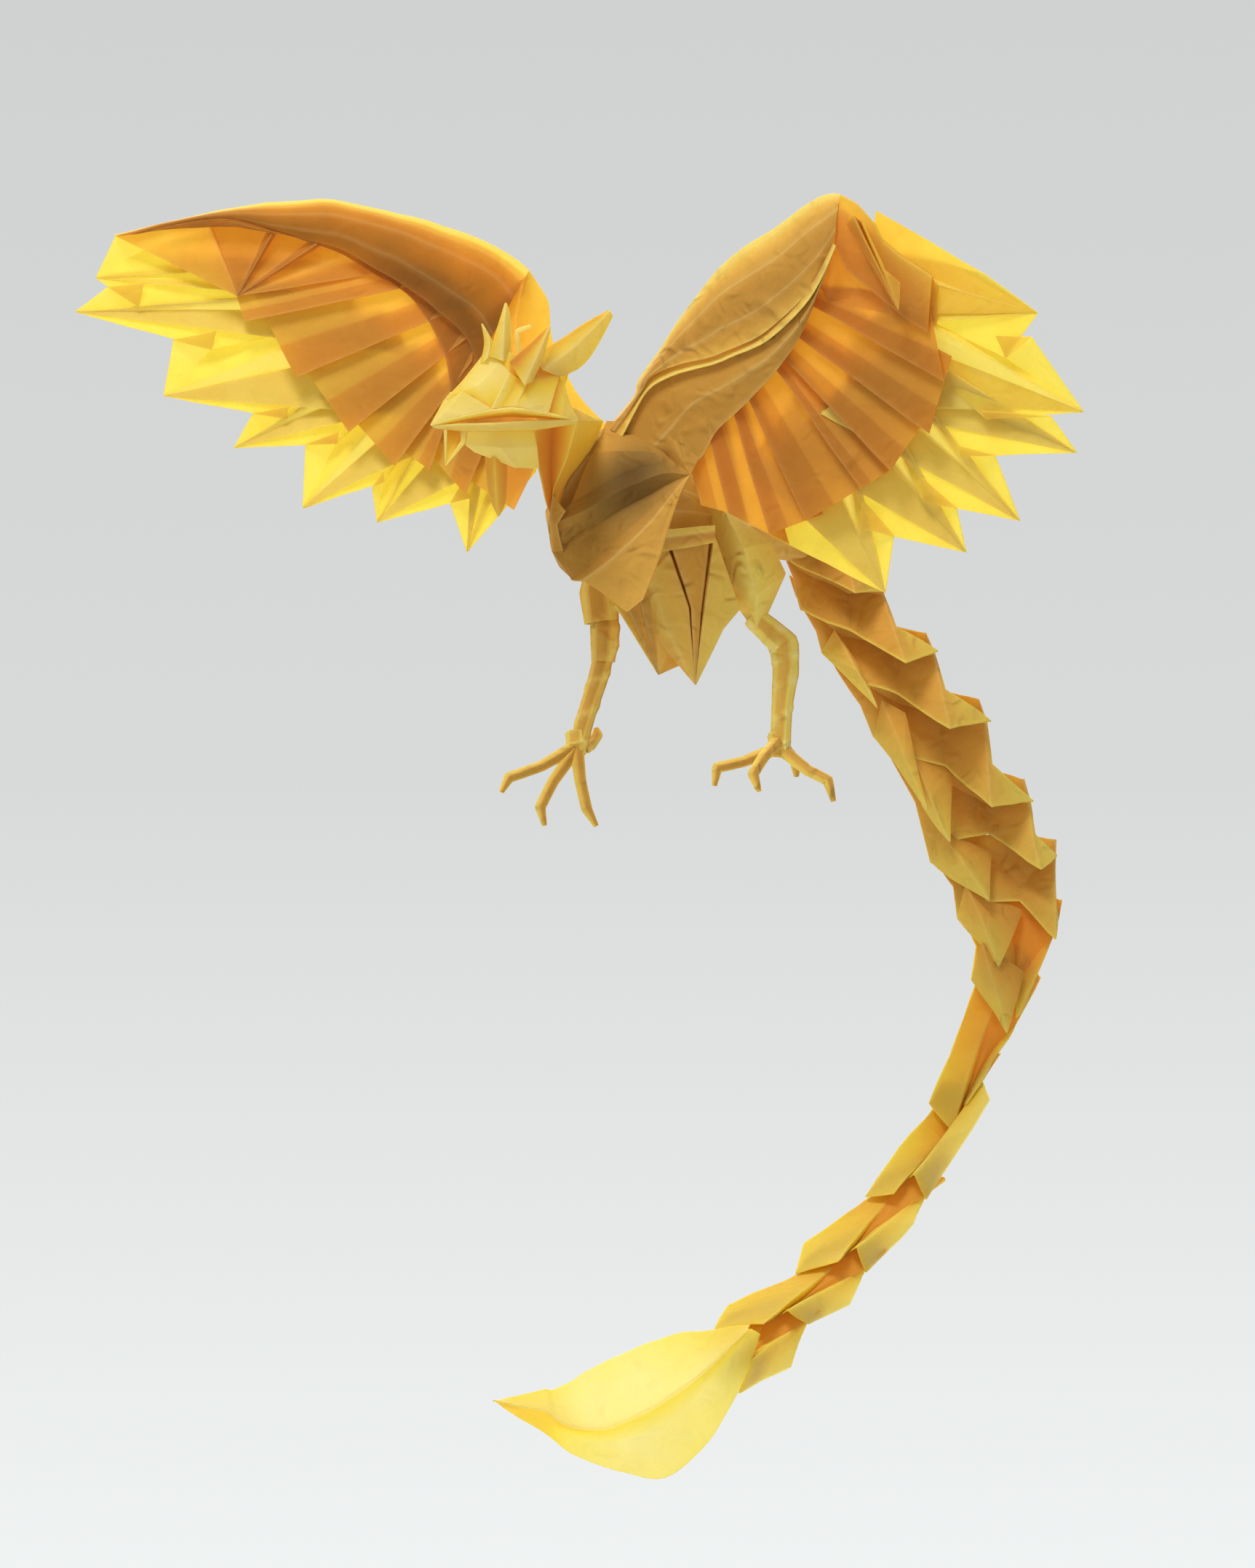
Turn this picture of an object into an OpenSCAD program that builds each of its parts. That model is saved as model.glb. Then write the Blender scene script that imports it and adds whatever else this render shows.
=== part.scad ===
// Origami phoenix: one uncut sheet, folded into a bird with spread wings, a crested head,
// two legs with toes and a long scaled tail that ends in a leaf.
// X runs to the bird's left wing, Y away from the side it is shown from, Z up.
// The origin is the saddle of the back between the wings, where the figure is hung.

/* [Paper] */
// Thickness of the paper where it lies in layers, in millimetres
paper_t = 0.5; // [0.4:0.05:0.7]

/* [Wings] */
// Reach of a wing from its elbow to its longest feather tip
wing_reach = 100; // [90:1:110]
// Rise of the feather pleats out of the face of the wing
pleat_rise = 3; // [2:0.25:4]
// Stand-off of the covert layer from the feathers below it
covert_gap = 2.5; // [2:0.25:3.5]
// Fullness of the flap folded over the leading edge
flap_rise = 6; // [4:0.5:8]
// Width of the rolled leading edge
roll_d = 2.2; // [1.8:0.1:3]

/* [Body] */
// Length of the body from the breast to the root of the tail
body_l = 82; // [76:1:88]
// Width of the body across the shoulders
body_w = 28; // [25:0.5:32]
// Height of the body from the back to the belly
body_h = 36; // [33:0.5:40]
// Length of the folded point under the belly
belly_point_l = 24; // [18:1:30]

/* [Head] */
// Length of the head from the beak tip to the nape
head_l = 38; // [34:0.5:42]
// Length of the longest plume of the crest
crest_l = 19; // [15:0.5:24]
// Length of the spike that hangs at the throat
wattle_l = 12; // [8:0.5:15]

/* [Legs] */
// Height of the knee above the sole
shin_l = 28; // [24:0.5:32]
// Width of the folded shin
shin_d = 4.6; // [4:0.1:5.5]
// Length of the longest toe
toe_l = 20; // [17:0.5:23]
// Width of a toe
toe_d = 2.2; // [1.8:0.1:2.8]

/* [Tail] */
// Drop of the tail from its root to the root of the leaf
tail_drop = 172; // [150:1:190]
// Width of the tail across its widest scales
tail_w = 38; // [33:0.5:42]
// Number of scales along the tail
scales = 12; // [10:1:14]
// Length of the leaf at the end of the tail
leaf_l = 69; // [58:1:78]
// Width of the leaf
leaf_w = 30; // [24:1:34]

/* [Hidden] */
heading = 45;
spine_front = 0.21;
roll_n = 8;

function unit(v) = v / norm(v);
function mix(a, b, t) = a + (b - a) * t;

// Smooth curve through the points, u running from 0 to 1
function bend(p, u) =
    let (n = len(p) - 1,
         k = min(floor(u * n), n - 1),
         t = u * n - k,
         a = p[max(k - 1, 0)],
         b = p[k],
         c = p[k + 1],
         d = p[min(k + 2, n)])
    b + (c - a) * t / 2 + (a * 2 - b * 5 + c * 4 - d) * t * t / 2 + (b * 3 - a - c * 3 + d) * t * t * t / 2;

// Straight-sided path through the points, u running from 0 to 1
function crease(p, u) =
    let (n = len(p) - 1,
         k = min(floor(u * n), n - 1))
    mix(p[k], p[k + 1], u * n - k);

// Point given along the body, to its left side and up
function from_body(a, b, z) =
    [b * cos(heading) - a * sin(heading), -a * cos(heading) - b * sin(heading), z];

// Direction square to a grid of points at one of them, across the creases
function grid_normal(g, i, j, closed) =
    let (rows = len(g),
         cols = len(g[0]),
         down = g[min(i + 1, rows - 1)][j] - g[max(i - 1, 0)][j],
         next = closed ? (j + 1) % cols : min(j + 1, cols - 1),
         last = closed ? (j + cols - 1) % cols : max(j - 1, 0))
    unit(cross(down, g[i][next] - g[i][last]));

// A sheet of paper through a grid of points; a closed sheet is a tube open at both ends
module sheet(g, closed = false) {
    rows = len(g);
    cols = len(g[0]);
    spans = closed ? cols : cols - 1;
    half = rows * cols;
    points = [for (side = [0.5, -0.5], i = [0 : rows - 1], j = [0 : cols - 1])
        g[i][j] + grid_normal(g, i, j, closed) * side * paper_t];
    front = [for (i = [0 : rows - 2], j = [0 : spans - 1], f = [0, 1])
        let (k = (j + 1) % cols, a = i * cols + j, b = i * cols + k, c = a + cols, d = b + cols)
        f == 0 ? [a, b, d] : [a, d, c]];
    back = [for (t = front) [t[0] + half, t[2] + half, t[1] + half]];
    top = [for (j = [0 : spans - 1], f = [0, 1])
        let (a = j, b = (j + 1) % cols)
        f == 0 ? [a, a + half, b + half] : [a, b + half, b]];
    low = [for (j = [0 : spans - 1], f = [0, 1])
        let (a = (rows - 1) * cols + j, b = (rows - 1) * cols + (j + 1) % cols)
        f == 0 ? [a, b + half, a + half] : [a, b, b + half]];
    left = closed ? [] : [for (i = [0 : rows - 2], f = [0, 1])
        let (a = i * cols, c = a + cols)
        f == 0 ? [a, c + half, a + half] : [a, c, c + half]];
    right = closed ? [] : [for (i = [0 : rows - 2], f = [0, 1])
        let (a = i * cols + cols - 1, c = a + cols)
        f == 0 ? [a, a + half, c + half] : [a, c + half, c]];
    polyhedron(points, concat(front, back, top, low, left, right), convexity = 12);
}

// A small six-sided bead, the end of a tightly folded strip
module bead(p, d) {
    translate(p) sphere(d = d, $fn = 6);
}

// Tightly folded strip: beads along a path, each pair wrapped into one straight run
module strip(path, widths) {
    for (k = [0 : len(path) - 2]) hull() {
        bead(path[k], widths[k]);
        bead(path[k + 1], widths[k + 1]);
    }
}

// Flat folded point with the given corners
module point_of(corners, d) {
    hull() for (c = corners) bead(c, d);
}

// WINGS
// Each wing is drawn in its own face as [across, up] shares of the reach, and a sweep gives the depth.
right_face = unit([-0.23, -0.97, 0]);
left_face = unit([-0.48, -0.87, 0]);
function right_at(p) = wing_reach * [p[0], 0.03 - 0.22 * p[0], p[1]];
function left_at(p) = wing_reach * [p[0], p[0] * (0.15 * p[0] - 0.65) + (0.2 - p[1]) * p[0] / 5, p[1]];

right_lead = [[0, 0], [-0.07, 0.08], [-0.12, 0.20], [-0.165, 0.345], [-0.255, 0.41], [-0.355, 0.45],
    [-0.48, 0.49], [-0.625, 0.52], [-0.745, 0.515], [-0.915, 0.495], [-1.115, 0.44]];
right_tips = [[-1.175, 0.345], [-1.23, 0.265], [-1.015, 0.065], [-0.85, -0.055], [-0.695, -0.185],
    [-0.52, -0.22], [-0.315, -0.29]];
right_notches = [[-1.13, 0.315], [-0.995, 0.195], [-0.805, 0.025], [-0.685, -0.04], [-0.535, -0.14],
    [-0.36, -0.17], [-0.17, -0.12]];
right_root = [[-0.165, 0.345], [-0.145, 0.27], [-0.12, 0.2], [-0.095, 0.13], [-0.06, 0.065]];
right_covert_top = [[-0.85, 0.30], [-0.775, 0.255], [-0.68, 0.125], [-0.555, 0.0], [-0.45, -0.06],
    [-0.38, -0.055]];
right_covert_low = [[-0.82, 0.24], [-0.705, 0.115], [-0.585, -0.01], [-0.48, -0.09], [-0.40, -0.095],
    [-0.32, -0.155]];
right_flap = [[-0.915, 0.49], [-0.775, 0.46], [-0.66, 0.42], [-0.545, 0.37], [-0.455, 0.31],
    [-0.395, 0.24], [-0.35, 0.155], [-0.345, 0.08], [-0.3, -0.02]];

left_lead = [[0, 0], [0.065, 0.075], [0.11, 0.145], [0.265, 0.36], [0.375, 0.445], [0.495, 0.525],
    [0.545, 0.53], [0.62, 0.495], [0.715, 0.44], [0.81, 0.385], [0.9, 0.325]];
left_tips = [[0.995, 0.26], [1.095, 0.035], [1.085, -0.06], [0.95, -0.21], [0.825, -0.285],
    [0.635, -0.38]];
left_notches = [[0.965, 0.22], [1.02, 0.025], [0.895, -0.065], [0.805, -0.185], [0.66, -0.245],
    [0.375, -0.245]];
left_root = [[0.545, 0.53], [0.375, 0.445], [0.265, 0.36], [0.11, 0.145], [0.08, -0.02]];
left_covert_top = [[0.765, 0.24], [0.775, 0.10], [0.74, -0.005], [0.645, -0.095], [0.575, -0.13],
    [0.445, -0.21], [0.36, -0.24]];
left_covert_low = [[0.775, 0.11], [0.745, -0.015], [0.655, -0.095], [0.585, -0.135], [0.455, -0.215],
    [0.37, -0.245], [0.27, -0.18]];
left_flap = [[0.52, 0.44], [0.5, 0.345], [0.45, 0.2], [0.375, 0.11], [0.255, -0.015], [0.2, -0.105]];

// Ends of the crease lines of the feathers: upper edge, rib, tip and lower edge of each one
function feather_ends(start, tips, notches) = [for (i = [0 : len(tips) - 1], c = [0 : 3])
    c == 0 ? (i == 0 ? mix(start, tips[0], 0.5) : mix(notches[i - 1], tips[i], -0.3)) :
    c == 1 ? mix(i == 0 ? start : notches[i - 1], tips[i], 0.94) :
    c == 2 ? tips[i] :
    mix(notches[i], tips[i], -0.3)];
feather_lift = [-0.5, 0.3, -0.1, 0.5];

// The pleated feather layer: crease lines run from the root line to the feather ends
function feather_grid(lead, root, tips, notches) =
    let (ends = feather_ends(lead[len(lead) - 1], tips, notches),
         n = len(ends))
    [for (r = [0 : 6])
        let (s = r / 6)
        concat([bend(lead, s)], [for (k = [0 : n - 1]) mix(bend(root, (k + 1) / n), ends[k], s)])];

module feathers(lead, root, tips, notches, right) {
    g = feather_grid(lead, root, tips, notches);
    face = right ? right_face : left_face;
    sheet([for (r = [0 : 6]) [for (c = [0 : len(g[0]) - 1])
        let (lift = c == 0 ? 0 : feather_lift[(c - 1) % 4],
             p = g[r][c],
             cup = sin(30 * r) * min(c, 4) / 4)
        (right ? right_at(p) : left_at(p))
            + face * (pleat_rise * lift * min(1, r / 3) - flap_rise * 0.4 * cup)]]);
}

// The covert layer: knife pleats laid over the feathers and held in the leading edge
module coverts(lead, flap, tops, lows, right) {
    face = right ? right_face : left_face;
    n = len(tops);
    sheet([for (r = [0 : 4]) [for (k = [0 : 2 * n - 1])
        let (u = 0.08 + 0.84 * k / (2 * n - 1),
             end = k % 2 == 0 ? tops[k / 2] : lows[(k - 1) / 2],
             p = r == 0 ? bend(lead, u) : mix(bend(flap, u), end, (r - 1) / 3),
             step = (k % 2 == 0 ? 0 : 0.5) * pleat_rise * min(1, r / 2))
        (right ? right_at(p) : left_at(p)) + face * (r == 0 ? 0 : covert_gap + step)]]);
}

// The flap folded over the leading edge, full in the middle
module lead_flap(lead, flap, right) {
    face = right ? right_face : left_face;
    sheet([for (r = [0 : 4]) [for (k = [0 : 12])
        let (u = k / 12,
             s = r / 4,
             p = mix(bend(lead, u), bend(flap, u), s))
        (right ? right_at(p) : left_at(p))
            + face * (flap_rise * sin(150 * s) * sin(30 + 120 * u) + (covert_gap + pleat_rise * 0.8) * s)]]);
}

// The leading edge itself, where all the layers of a wing are rolled together
module lead_roll(lead, right) {
    path = [for (k = [0 : roll_n]) let (p = bend(lead, k / roll_n)) right ? right_at(p) : left_at(p)];
    strip(path, [for (k = [0 : roll_n]) roll_d * (1.2 - 0.4 * k / roll_n)]);
}

function part_of(list, from, to) = [for (k = [from : to]) list[k]];
function turned(list) = [for (k = [len(list) - 1 : -1 : 0]) list[k]];

module right_wing() {
    arm = part_of(right_lead, 3, 10);
    feathers(arm, right_root, right_tips, right_notches, true);
    coverts(turned(part_of(right_lead, 3, 9)), right_flap, right_covert_top, right_covert_low, true);
    lead_flap(turned(part_of(right_lead, 3, 9)), right_flap, true);
    lead_roll(right_lead, true);
}

module left_wing() {
    hand = part_of(left_lead, 6, 10);
    arm = turned(part_of(left_lead, 1, 6));
    feathers(hand, left_root, left_tips, left_notches, false);
    coverts(arm, left_flap, left_covert_top, left_covert_low, false);
    lead_flap(arm, left_flap, false);
    lead_roll(left_lead, false);
    // spike folded out of the wrist and the folded ridge of the hand
    strip([left_at([0.55, 0.5]), left_at([0.62, 0.37]) + left_face * 5, left_at([0.675, 0.27]) + left_face * 6],
        [roll_d * 1.6, roll_d * 1.4, roll_d * 0.5]);
    strip([left_at([0.555, 0.52]), left_at([0.63, 0.425]) + left_face * 4, left_at([0.75, 0.345]) + left_face * 3,
        left_at([0.765, 0.26]) + left_face * 2], [roll_d * 1.4, roll_d * 1.5, roll_d, roll_d * 0.5]);
}

// BODY
// Eight-cornered rings along the body, from the breast to the root of the tail
body_rings = [[0.21, 0.2, -0.45, -0.85], [0.12, 0.8, -0.06, -1.02], [0, 1, 0, -1],
    [-0.2, 1, -0.08, -1], [-0.42, 0.8, -0.3, -1], [-0.65, 0.55, -0.58, -1.02], [-0.79, 0.4, -0.72, -1.05]];
tail_root = from_body(-0.77 * body_l, 0, -0.88 * body_h);

function body_ring(r) =
    let (w = body_w / 2 * r[1], t = body_h * r[2], b = body_h * r[3], m = mix(t, b, 0.45))
    [for (q = [[0, t], [0.7, mix(t, m, 0.35)], [1, m], [0.6, mix(m, b, 0.7)], [0, b],
        [-0.6, mix(m, b, 0.7)], [-1, m], [-0.7, mix(t, m, 0.35)]])
        from_body(r[0] * body_l, q[0] * w, q[1])];

module body() {
    for (k = [0 : len(body_rings) - 2]) hull() {
        for (p = body_ring(body_rings[k])) bead(p, paper_t);
        for (p = body_ring(body_rings[k + 1])) bead(p, paper_t);
    }
}

// Breast flaps that hang free over each side of the body, and the folded point under the belly
module breast(side, spread) {
    w = body_w / 2 * side;
    keel = 0.13 * side - 0.08;
    rows = [[[0.19, keel, -0.12], [0.06 + 0.06 * spread, 0.7 + 0.1 * spread, -0.14], [0, 0.7 + 0.45 * spread, -0.2]],
        [[0.23, keel, -0.55], [0.07 + 0.07 * spread, 0.75 + 0.25 * spread, -0.55], [-0.02, 0.75 + 0.63 * spread, -0.5]],
        [[0.21, keel, -0.9], [0.08 + 0.07 * spread, 0.7 + 0.25 * spread, -0.92], [0.02, 0.7 + 0.65 * spread, -0.82]],
        [[0.18, keel + 0.3 * spread, -1.0], [0.08 + 0.07 * spread, 0.5 + 0.45 * spread, -1 - 0.1 * spread],
            [0.1, 0.6 + 0.52 * spread, -0.97 - 0.2 * spread]]];
    sheet([for (r = [0 : 6]) [for (c = [0 : 4])
        let (row = [for (q = rows) bend(q, c / 4)], q = bend(row, r / 6))
        from_body(q[0] * body_l, q[1] * w, q[2] * body_h)]]);
}

// The paper that runs from the breast up into the root of the left wing
module shoulder() {
    rows = [[from_body(0, 0, -1), left_at([0.065, 0.075]), left_at([0.13, 0.17])],
        [from_body(0.06 * body_l, 0.2 * body_w, -0.1 * body_h), left_at([0.1, 0]) + left_face * 5,
            left_at([0.18, 0.08]) + left_face * 4],
        [from_body(0.1 * body_l, 0.42 * body_w, -0.3 * body_h), from_body(0.06 * body_l, 0.62 * body_w, -0.32 * body_h),
            left_at([0.21, -0.1]) + left_face * 3]];
    sheet([for (r = [0 : 4]) [for (c = [0 : 4])
        bend([for (row = rows) bend(row, c / 4)], r / 4)]]);
}

module belly_point() {
    low = -body_h;
    tip = from_body(-0.19 * body_l, body_w * 0.46, low - belly_point_l);
    side_tip = from_body(-0.12 * body_l, body_w * 0.22, low - belly_point_l * 0.9);
    point_of([tip, from_body(-0.16 * body_l, body_w * 0.6, low * 0.7), from_body(-0.33 * body_l, body_w * 0.5, low * 1.1),
        from_body(-0.02 * body_l, body_w * 0.2, low * 1.1), from_body(-0.25 * body_l, 0, low * 0.9)], paper_t);
    point_of([side_tip, from_body(0.02 * body_l, body_w * 0.22, low * 1.12), from_body(-0.2 * body_l, 0, low * 0.9),
        from_body(-0.1 * body_l, body_w * 0.4, low * 0.95)], paper_t);
}

// HEAD AND NECK
throat = from_body(spine_front * body_l, 0, 0);
nape = throat + head_l * [0.158, -0.474, 0.053];
beak_dir = unit([-33, -18, -1.5]);
side_dir = unit(cross([0, 0, 1], beak_dir));
function on_head(f, s, u) = nape + (beak_dir * f + side_dir * s + [0, 0, u]) * head_l;

module neck() {
    point_of([on_head(0.07, 0.12, 0), on_head(0.07, -0.12, 0), on_head(0.36, 0.08, -0.02), on_head(0.36, -0.08, -0.02),
        throat + [0, 0, -0.62 * body_h], on_head(0.12, 0, 0.285), from_body(0.04 * body_l, 0, -0.08 * body_h),
        from_body(0.1 * body_l, 0, -0.5 * body_h)], paper_t);
}

// Skull, beak and lower jaw, each a row of sections from the beak tip back; a section runs over the
// ridge from one side to the other
skull = [[1.02, 0.02, 0.02, 0.015, 0.01, -0.012], [0.79, 0.2, 0.12, 0.05, 0.08, -0.03],
    [0.67, 0.34, 0.2, 0.08, 0.12, -0.025], [0.42, 0.36, 0.23, 0.07, 0.13, -0.02], [0.09, 0.29, 0.22, 0.08, 0.15, 0]];
jaw = [[0.93, -0.25, 0.03, -0.22], [0.81, -0.15, 0.1, -0.03], [0.6, -0.2, 0.12, -0.05], [0.42, -0.27, 0.12, -0.07],
    [0.18, -0.3, 0.08, -0.1]];

module head() {
    sheet([for (q = skull) [on_head(q[0], q[4], q[5]), on_head(q[0], q[2], q[3]), on_head(q[0], 0, q[1]),
        on_head(q[0], -q[2], q[3]), on_head(q[0], -q[4], q[5])]]);
    sheet([for (q = jaw) [on_head(q[0], q[2], q[3]), on_head(q[0], 0, q[1]), on_head(q[0], -q[2], q[3])]]);
    point_of([on_head(0.68, 0.02, -0.16), on_head(0.5, 0.02, -0.22), on_head(0.56, 0, -0.18),
        on_head(0.58, 0, -0.26) - [0, 0, wattle_l]], paper_t);
}

// Plumes of the crest: root on the head, direction, share of the longest plume and width
plumes = [[[0.58, 0.03, 0.33], [-0.35, 0, 1], 0.6, 0.1], [[0.54, 0, 0.33], [0.06, 0, 1], 0.75, 0.18],
    [[0.45, 0.12, 0.22], [0.55, 0, 1], 0.75, 0.16], [[0.2, 0.05, 0.2], [0.75, 0.1, 0.85], 1.15, 0.22],
    [[0.42, -0.08, 0.27], [0.3, 0.4, 1], 0.7, 0.14]];

module crest() {
    for (p = plumes) {
        root = on_head(p[0][0], p[0][1], p[0][2]);
        up = unit(p[1]);
        across = beak_dir * head_l * p[3] / 2;
        point_of([root + across - up * 2, root - across - up * 2, root + up * crest_l * p[2] * 0.45 + across,
            root + up * crest_l * p[2] * 0.5 - across * 0.8 + side_dir, root + up * crest_l * p[2]], paper_t * 1.4);
    }
}

// LEGS
// Hip, knee and ankle of each leg along the body, then the toes as headings from the ankle
module leg(hip, knee, ankle, toes, thigh_w) {
    hull() {
        bead(hip, shin_d * 1.3);
        bead(mix(hip, knee, 0.55) + [thigh_w / 2, 0, 0], shin_d * 0.7);
        bead(mix(hip, knee, 0.6) - [thigh_w / 2, 0, 0], shin_d * 0.7);
        bead(knee, shin_d);
    }
    strip([knee, mix(knee, ankle, 0.2) + [0.12, 0.1, 0] * shin_d, mix(knee, ankle, 0.6), ankle],
        [shin_d, shin_d * 1.2, shin_d * 0.85, shin_d * 0.8]);
    for (t = toes) {
        dir = unit(t[0]);
        root = ankle - [0, 0, toe_d * 0.4];
        strip([root, root + dir * toe_l * t[1] * 0.5 + [0, 0, toe_d * 0.2], root + dir * toe_l * t[1],
            root + dir * toe_l * t[1] * 0.98 + [0, 0, -toe_l * 0.24 * t[1]]],
            [toe_d * 1.3, toe_d * 1.15, toe_d, toe_d * 0.5]);
    }
}

module legs() {
    left_hip = from_body(-0.29 * body_l, body_w * 0.42, -0.55 * body_h);
    left_knee = left_hip + shin_l * [0.54, -0.14, -0.93];
    left_ankle = left_knee + shin_l * [0.036, -0.036, -1];
    leg(left_hip, left_knee, left_ankle, [[[-14, -9, -4], 0.9], [[-5, -13, -7], 0.8], [[10, -6, -8], 0.8],
        [[4, 9, -4], 0.5]], shin_d * 2);
    right_hip = from_body(-0.16 * body_l, -body_w * 0.4, -0.75 * body_h);
    right_knee = right_hip + shin_l * [-0.05, -0.07, -0.68];
    right_ankle = right_knee + shin_l * [-0.25, -0.21, -1];
    leg(right_hip, right_knee, right_ankle, [[[-15, -10, -7], 0.95], [[-8, -10, -13], 0.95], [[2, -9, -14], 0.95],
        [[5, 9, 1], 0.45]], shin_d * 2);
}

// TAIL
// Middles of the scales' lower edges as shares of the drop: the bow swings out to the left and back,
// then forward below the bird
tail_bow = [[0.05, 0.015, -0.01], [0.095, 0.03, -0.07], [0.15, 0.055, -0.155], [0.215, 0.075, -0.27],
    [0.27, 0.08, -0.395], [0.285, 0.065, -0.475], [0.27, 0.045, -0.575], [0.215, 0, -0.705],
    [0.13, -0.065, -0.85], [0.04, -0.145, -0.945], [-0.05, -0.215, -1.015], [-0.1, -0.255, -1.07]];
// Half widths of a scale as shares of the tail's width, at its lower edge and at its waist
tail_half = [[0.32, 0.28], [0.43, 0.36], [0.51, 0.42], [0.5, 0.43], [0.39, 0.38], [0.3, 0.3], [0.19, 0.2],
    [0.2, 0.19], [0.22, 0.24], [0.25, 0.26], [0.29, 0.28], [0.2, 0.22]];
// Corners of a scale's lower edge as [across, forward, up] shares of its half width: side tip, ridge,
// hollow, ridge and side tip; upper scales hang aslant, lower ones are level with a deep slot
upper_scale = [[-1, 0, 0.42], [-0.62, 0.42, 0.1], [-0.05, 0.33, -0.28], [0.52, 0.58, -0.5], [1, 0.08, -0.42]];
upper_waist = [[-1, 0, 0.4], [-0.6, 0.24, 0.1], [0, 0.1, -0.2], [0.6, 0.34, -0.45], [0.76, 0.26, -0.5]];
lower_scale = [[-1, 0.1, 0], [-0.2, 0.6, 0], [0.2, 0.3, 0.1], [0.6, 0.4, 0.1], [1, 0, 0]];
lower_waist = [[-1, 0.1, 0], [-0.3, 0.4, 0], [0.1, 0.2, 0.1], [0.6, 0.3, 0.1], [1, 0.1, 0]];

function tail_at(u) = tail_root + bend(tail_bow, u) * tail_drop;
function turned_scale(upper, lower, u) =
    let (turn = min(1, max(0, u * 2.75 - 0.75)))
    [for (k = [0 : 4]) mix(upper[k], lower[k], turn)];

// Ring of a scale: the front corners, then the ridges repeated close behind the side tips
function scale_ring(middle, half, front) =
    let (behind = [for (k = [3 : -1 : 1]) [front[k][0] * 0.97, min(front[k][1], 0) - 0.45, front[k][2]]])
    [for (q = concat(front, behind)) middle + half * [q[0], -q[1], q[2]]];

function scale_edge(u) =
    scale_ring(tail_at(u), bend(tail_half, u)[0] * tail_w, turned_scale(upper_scale, lower_scale, u));
function scale_waist(u, pitch) =
    let (above = u < pitch / 2 ? tail_root : tail_at(u - pitch))
    scale_ring(mix(above, tail_at(u), 0.5), bend(tail_half, u)[1] * tail_w, turned_scale(upper_waist, lower_waist, u));

// A scale is tucked into the one above: its side tips go through the side folds there, its ridges stay inside
function scale_tuck(u, pitch) =
    let (edge = scale_edge(u - pitch),
         waist = scale_waist(u - pitch, pitch),
         wall = [for (k = [0 : 7]) mix(edge[k], waist[k], 0.28)],
         middle = (wall[0] + wall[4]) / 2)
    [for (k = [0 : 7]) middle + (wall[k] - middle) * (k % 4 == 0 ? 1.03 : 0.8)];

module tail() {
    pitch = 1 / (scales - 1);
    for (k = [1 : scales - 1])
        let (u = k * pitch,
             tuck = k == 1 ? scale_ring(tail_root + tail_drop * [0.03, 0, 0.06], tail_w / 4, upper_waist)
                           : scale_tuck(u, pitch))
        sheet([tuck, scale_waist(u, pitch), scale_edge(u)], true);
}

// The leaf: two blades on a wavy crease, its stem tucked into the last scale
module leaf() {
    root = tail_root + tail_drop * [-0.02, -0.26, -0.99];
    out = unit([-0.92, -0.28, -0.27]);
    across = unit([0.25, -0.2, -0.95]);
    lift = cross(out, across);
    sheet([for (r = [0 : 10]) [for (c = [0 : 4])
        let (s = 0.02 + 0.96 * r / 10,
             bow = sin(180 * s),
             low = pow(sin(180 * s), 0.8),
             wave = sin(540 * s) * 0.04,
             edge = crease([-0.1 * bow - 0.02, 0.36 * bow + wave, 0.9 * low + 0.03], c / 4),
             fold = [0.05, -0.05, 0.1, -0.06, 0.08][c] * bow)
        root + out * leaf_l * s + (across * edge + lift * fold) * leaf_w]]);
    strip([tail_at(0.885), root, root + out * leaf_l * 0.25 + across * leaf_w * 0.25], [paper_t * 4, paper_t * 5, paper_t * 2]);
}

module folded_phoenix() {
    color("gold") {
        body();
        breast(1, 1);
        breast(-1, 0);
        shoulder();
        belly_point();
        neck();
        head();
        crest();
        right_wing();
        left_wing();
        legs();
        tail();
        leaf();
    }
}

folded_phoenix();
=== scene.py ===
import math

import bmesh
import bpy
import numpy as np
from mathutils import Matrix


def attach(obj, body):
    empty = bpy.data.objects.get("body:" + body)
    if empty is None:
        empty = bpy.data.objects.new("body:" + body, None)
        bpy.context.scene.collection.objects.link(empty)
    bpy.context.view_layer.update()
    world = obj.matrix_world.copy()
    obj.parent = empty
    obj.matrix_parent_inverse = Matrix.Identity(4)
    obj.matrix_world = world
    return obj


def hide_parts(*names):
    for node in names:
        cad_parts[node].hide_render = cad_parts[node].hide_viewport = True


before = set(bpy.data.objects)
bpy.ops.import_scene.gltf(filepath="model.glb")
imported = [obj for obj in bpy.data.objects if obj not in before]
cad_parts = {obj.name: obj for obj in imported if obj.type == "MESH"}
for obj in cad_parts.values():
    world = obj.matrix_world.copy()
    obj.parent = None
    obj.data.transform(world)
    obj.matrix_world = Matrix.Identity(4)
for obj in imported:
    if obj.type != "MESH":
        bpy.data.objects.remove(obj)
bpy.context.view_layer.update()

# The body: the thick middle of the one folded sheet, where the layers of wings, legs and tail meet.
# It is thin long-fibred paper, dyed gold, pressed into a pleated wedge from breast to tail root.
# All points are in millimetres: x to the bird's left wing, y away from the viewer, z up.
MM = 0.001
EYE = np.array([5.1, -3000.0, -81.7])
PAPER_T = 0.3


def find_run(points, u):
    """Run of the path that each share u from 0 to 1 falls on, and how far along that run it lies."""
    last = points.shape[-2] - 1
    place = np.clip(u, 0, 1) * last
    run = np.minimum(place.astype(int), last - 1)
    return run, (place - run)[:, None]


def straight(points, u):
    """Straight path through the points (second axis from the end): on each run a blend of its two ends."""
    points = np.asarray(points, float)
    k, t = find_run(points, u)
    return points[..., k, :] * (1 - t) + points[..., k + 1, :] * t


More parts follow.
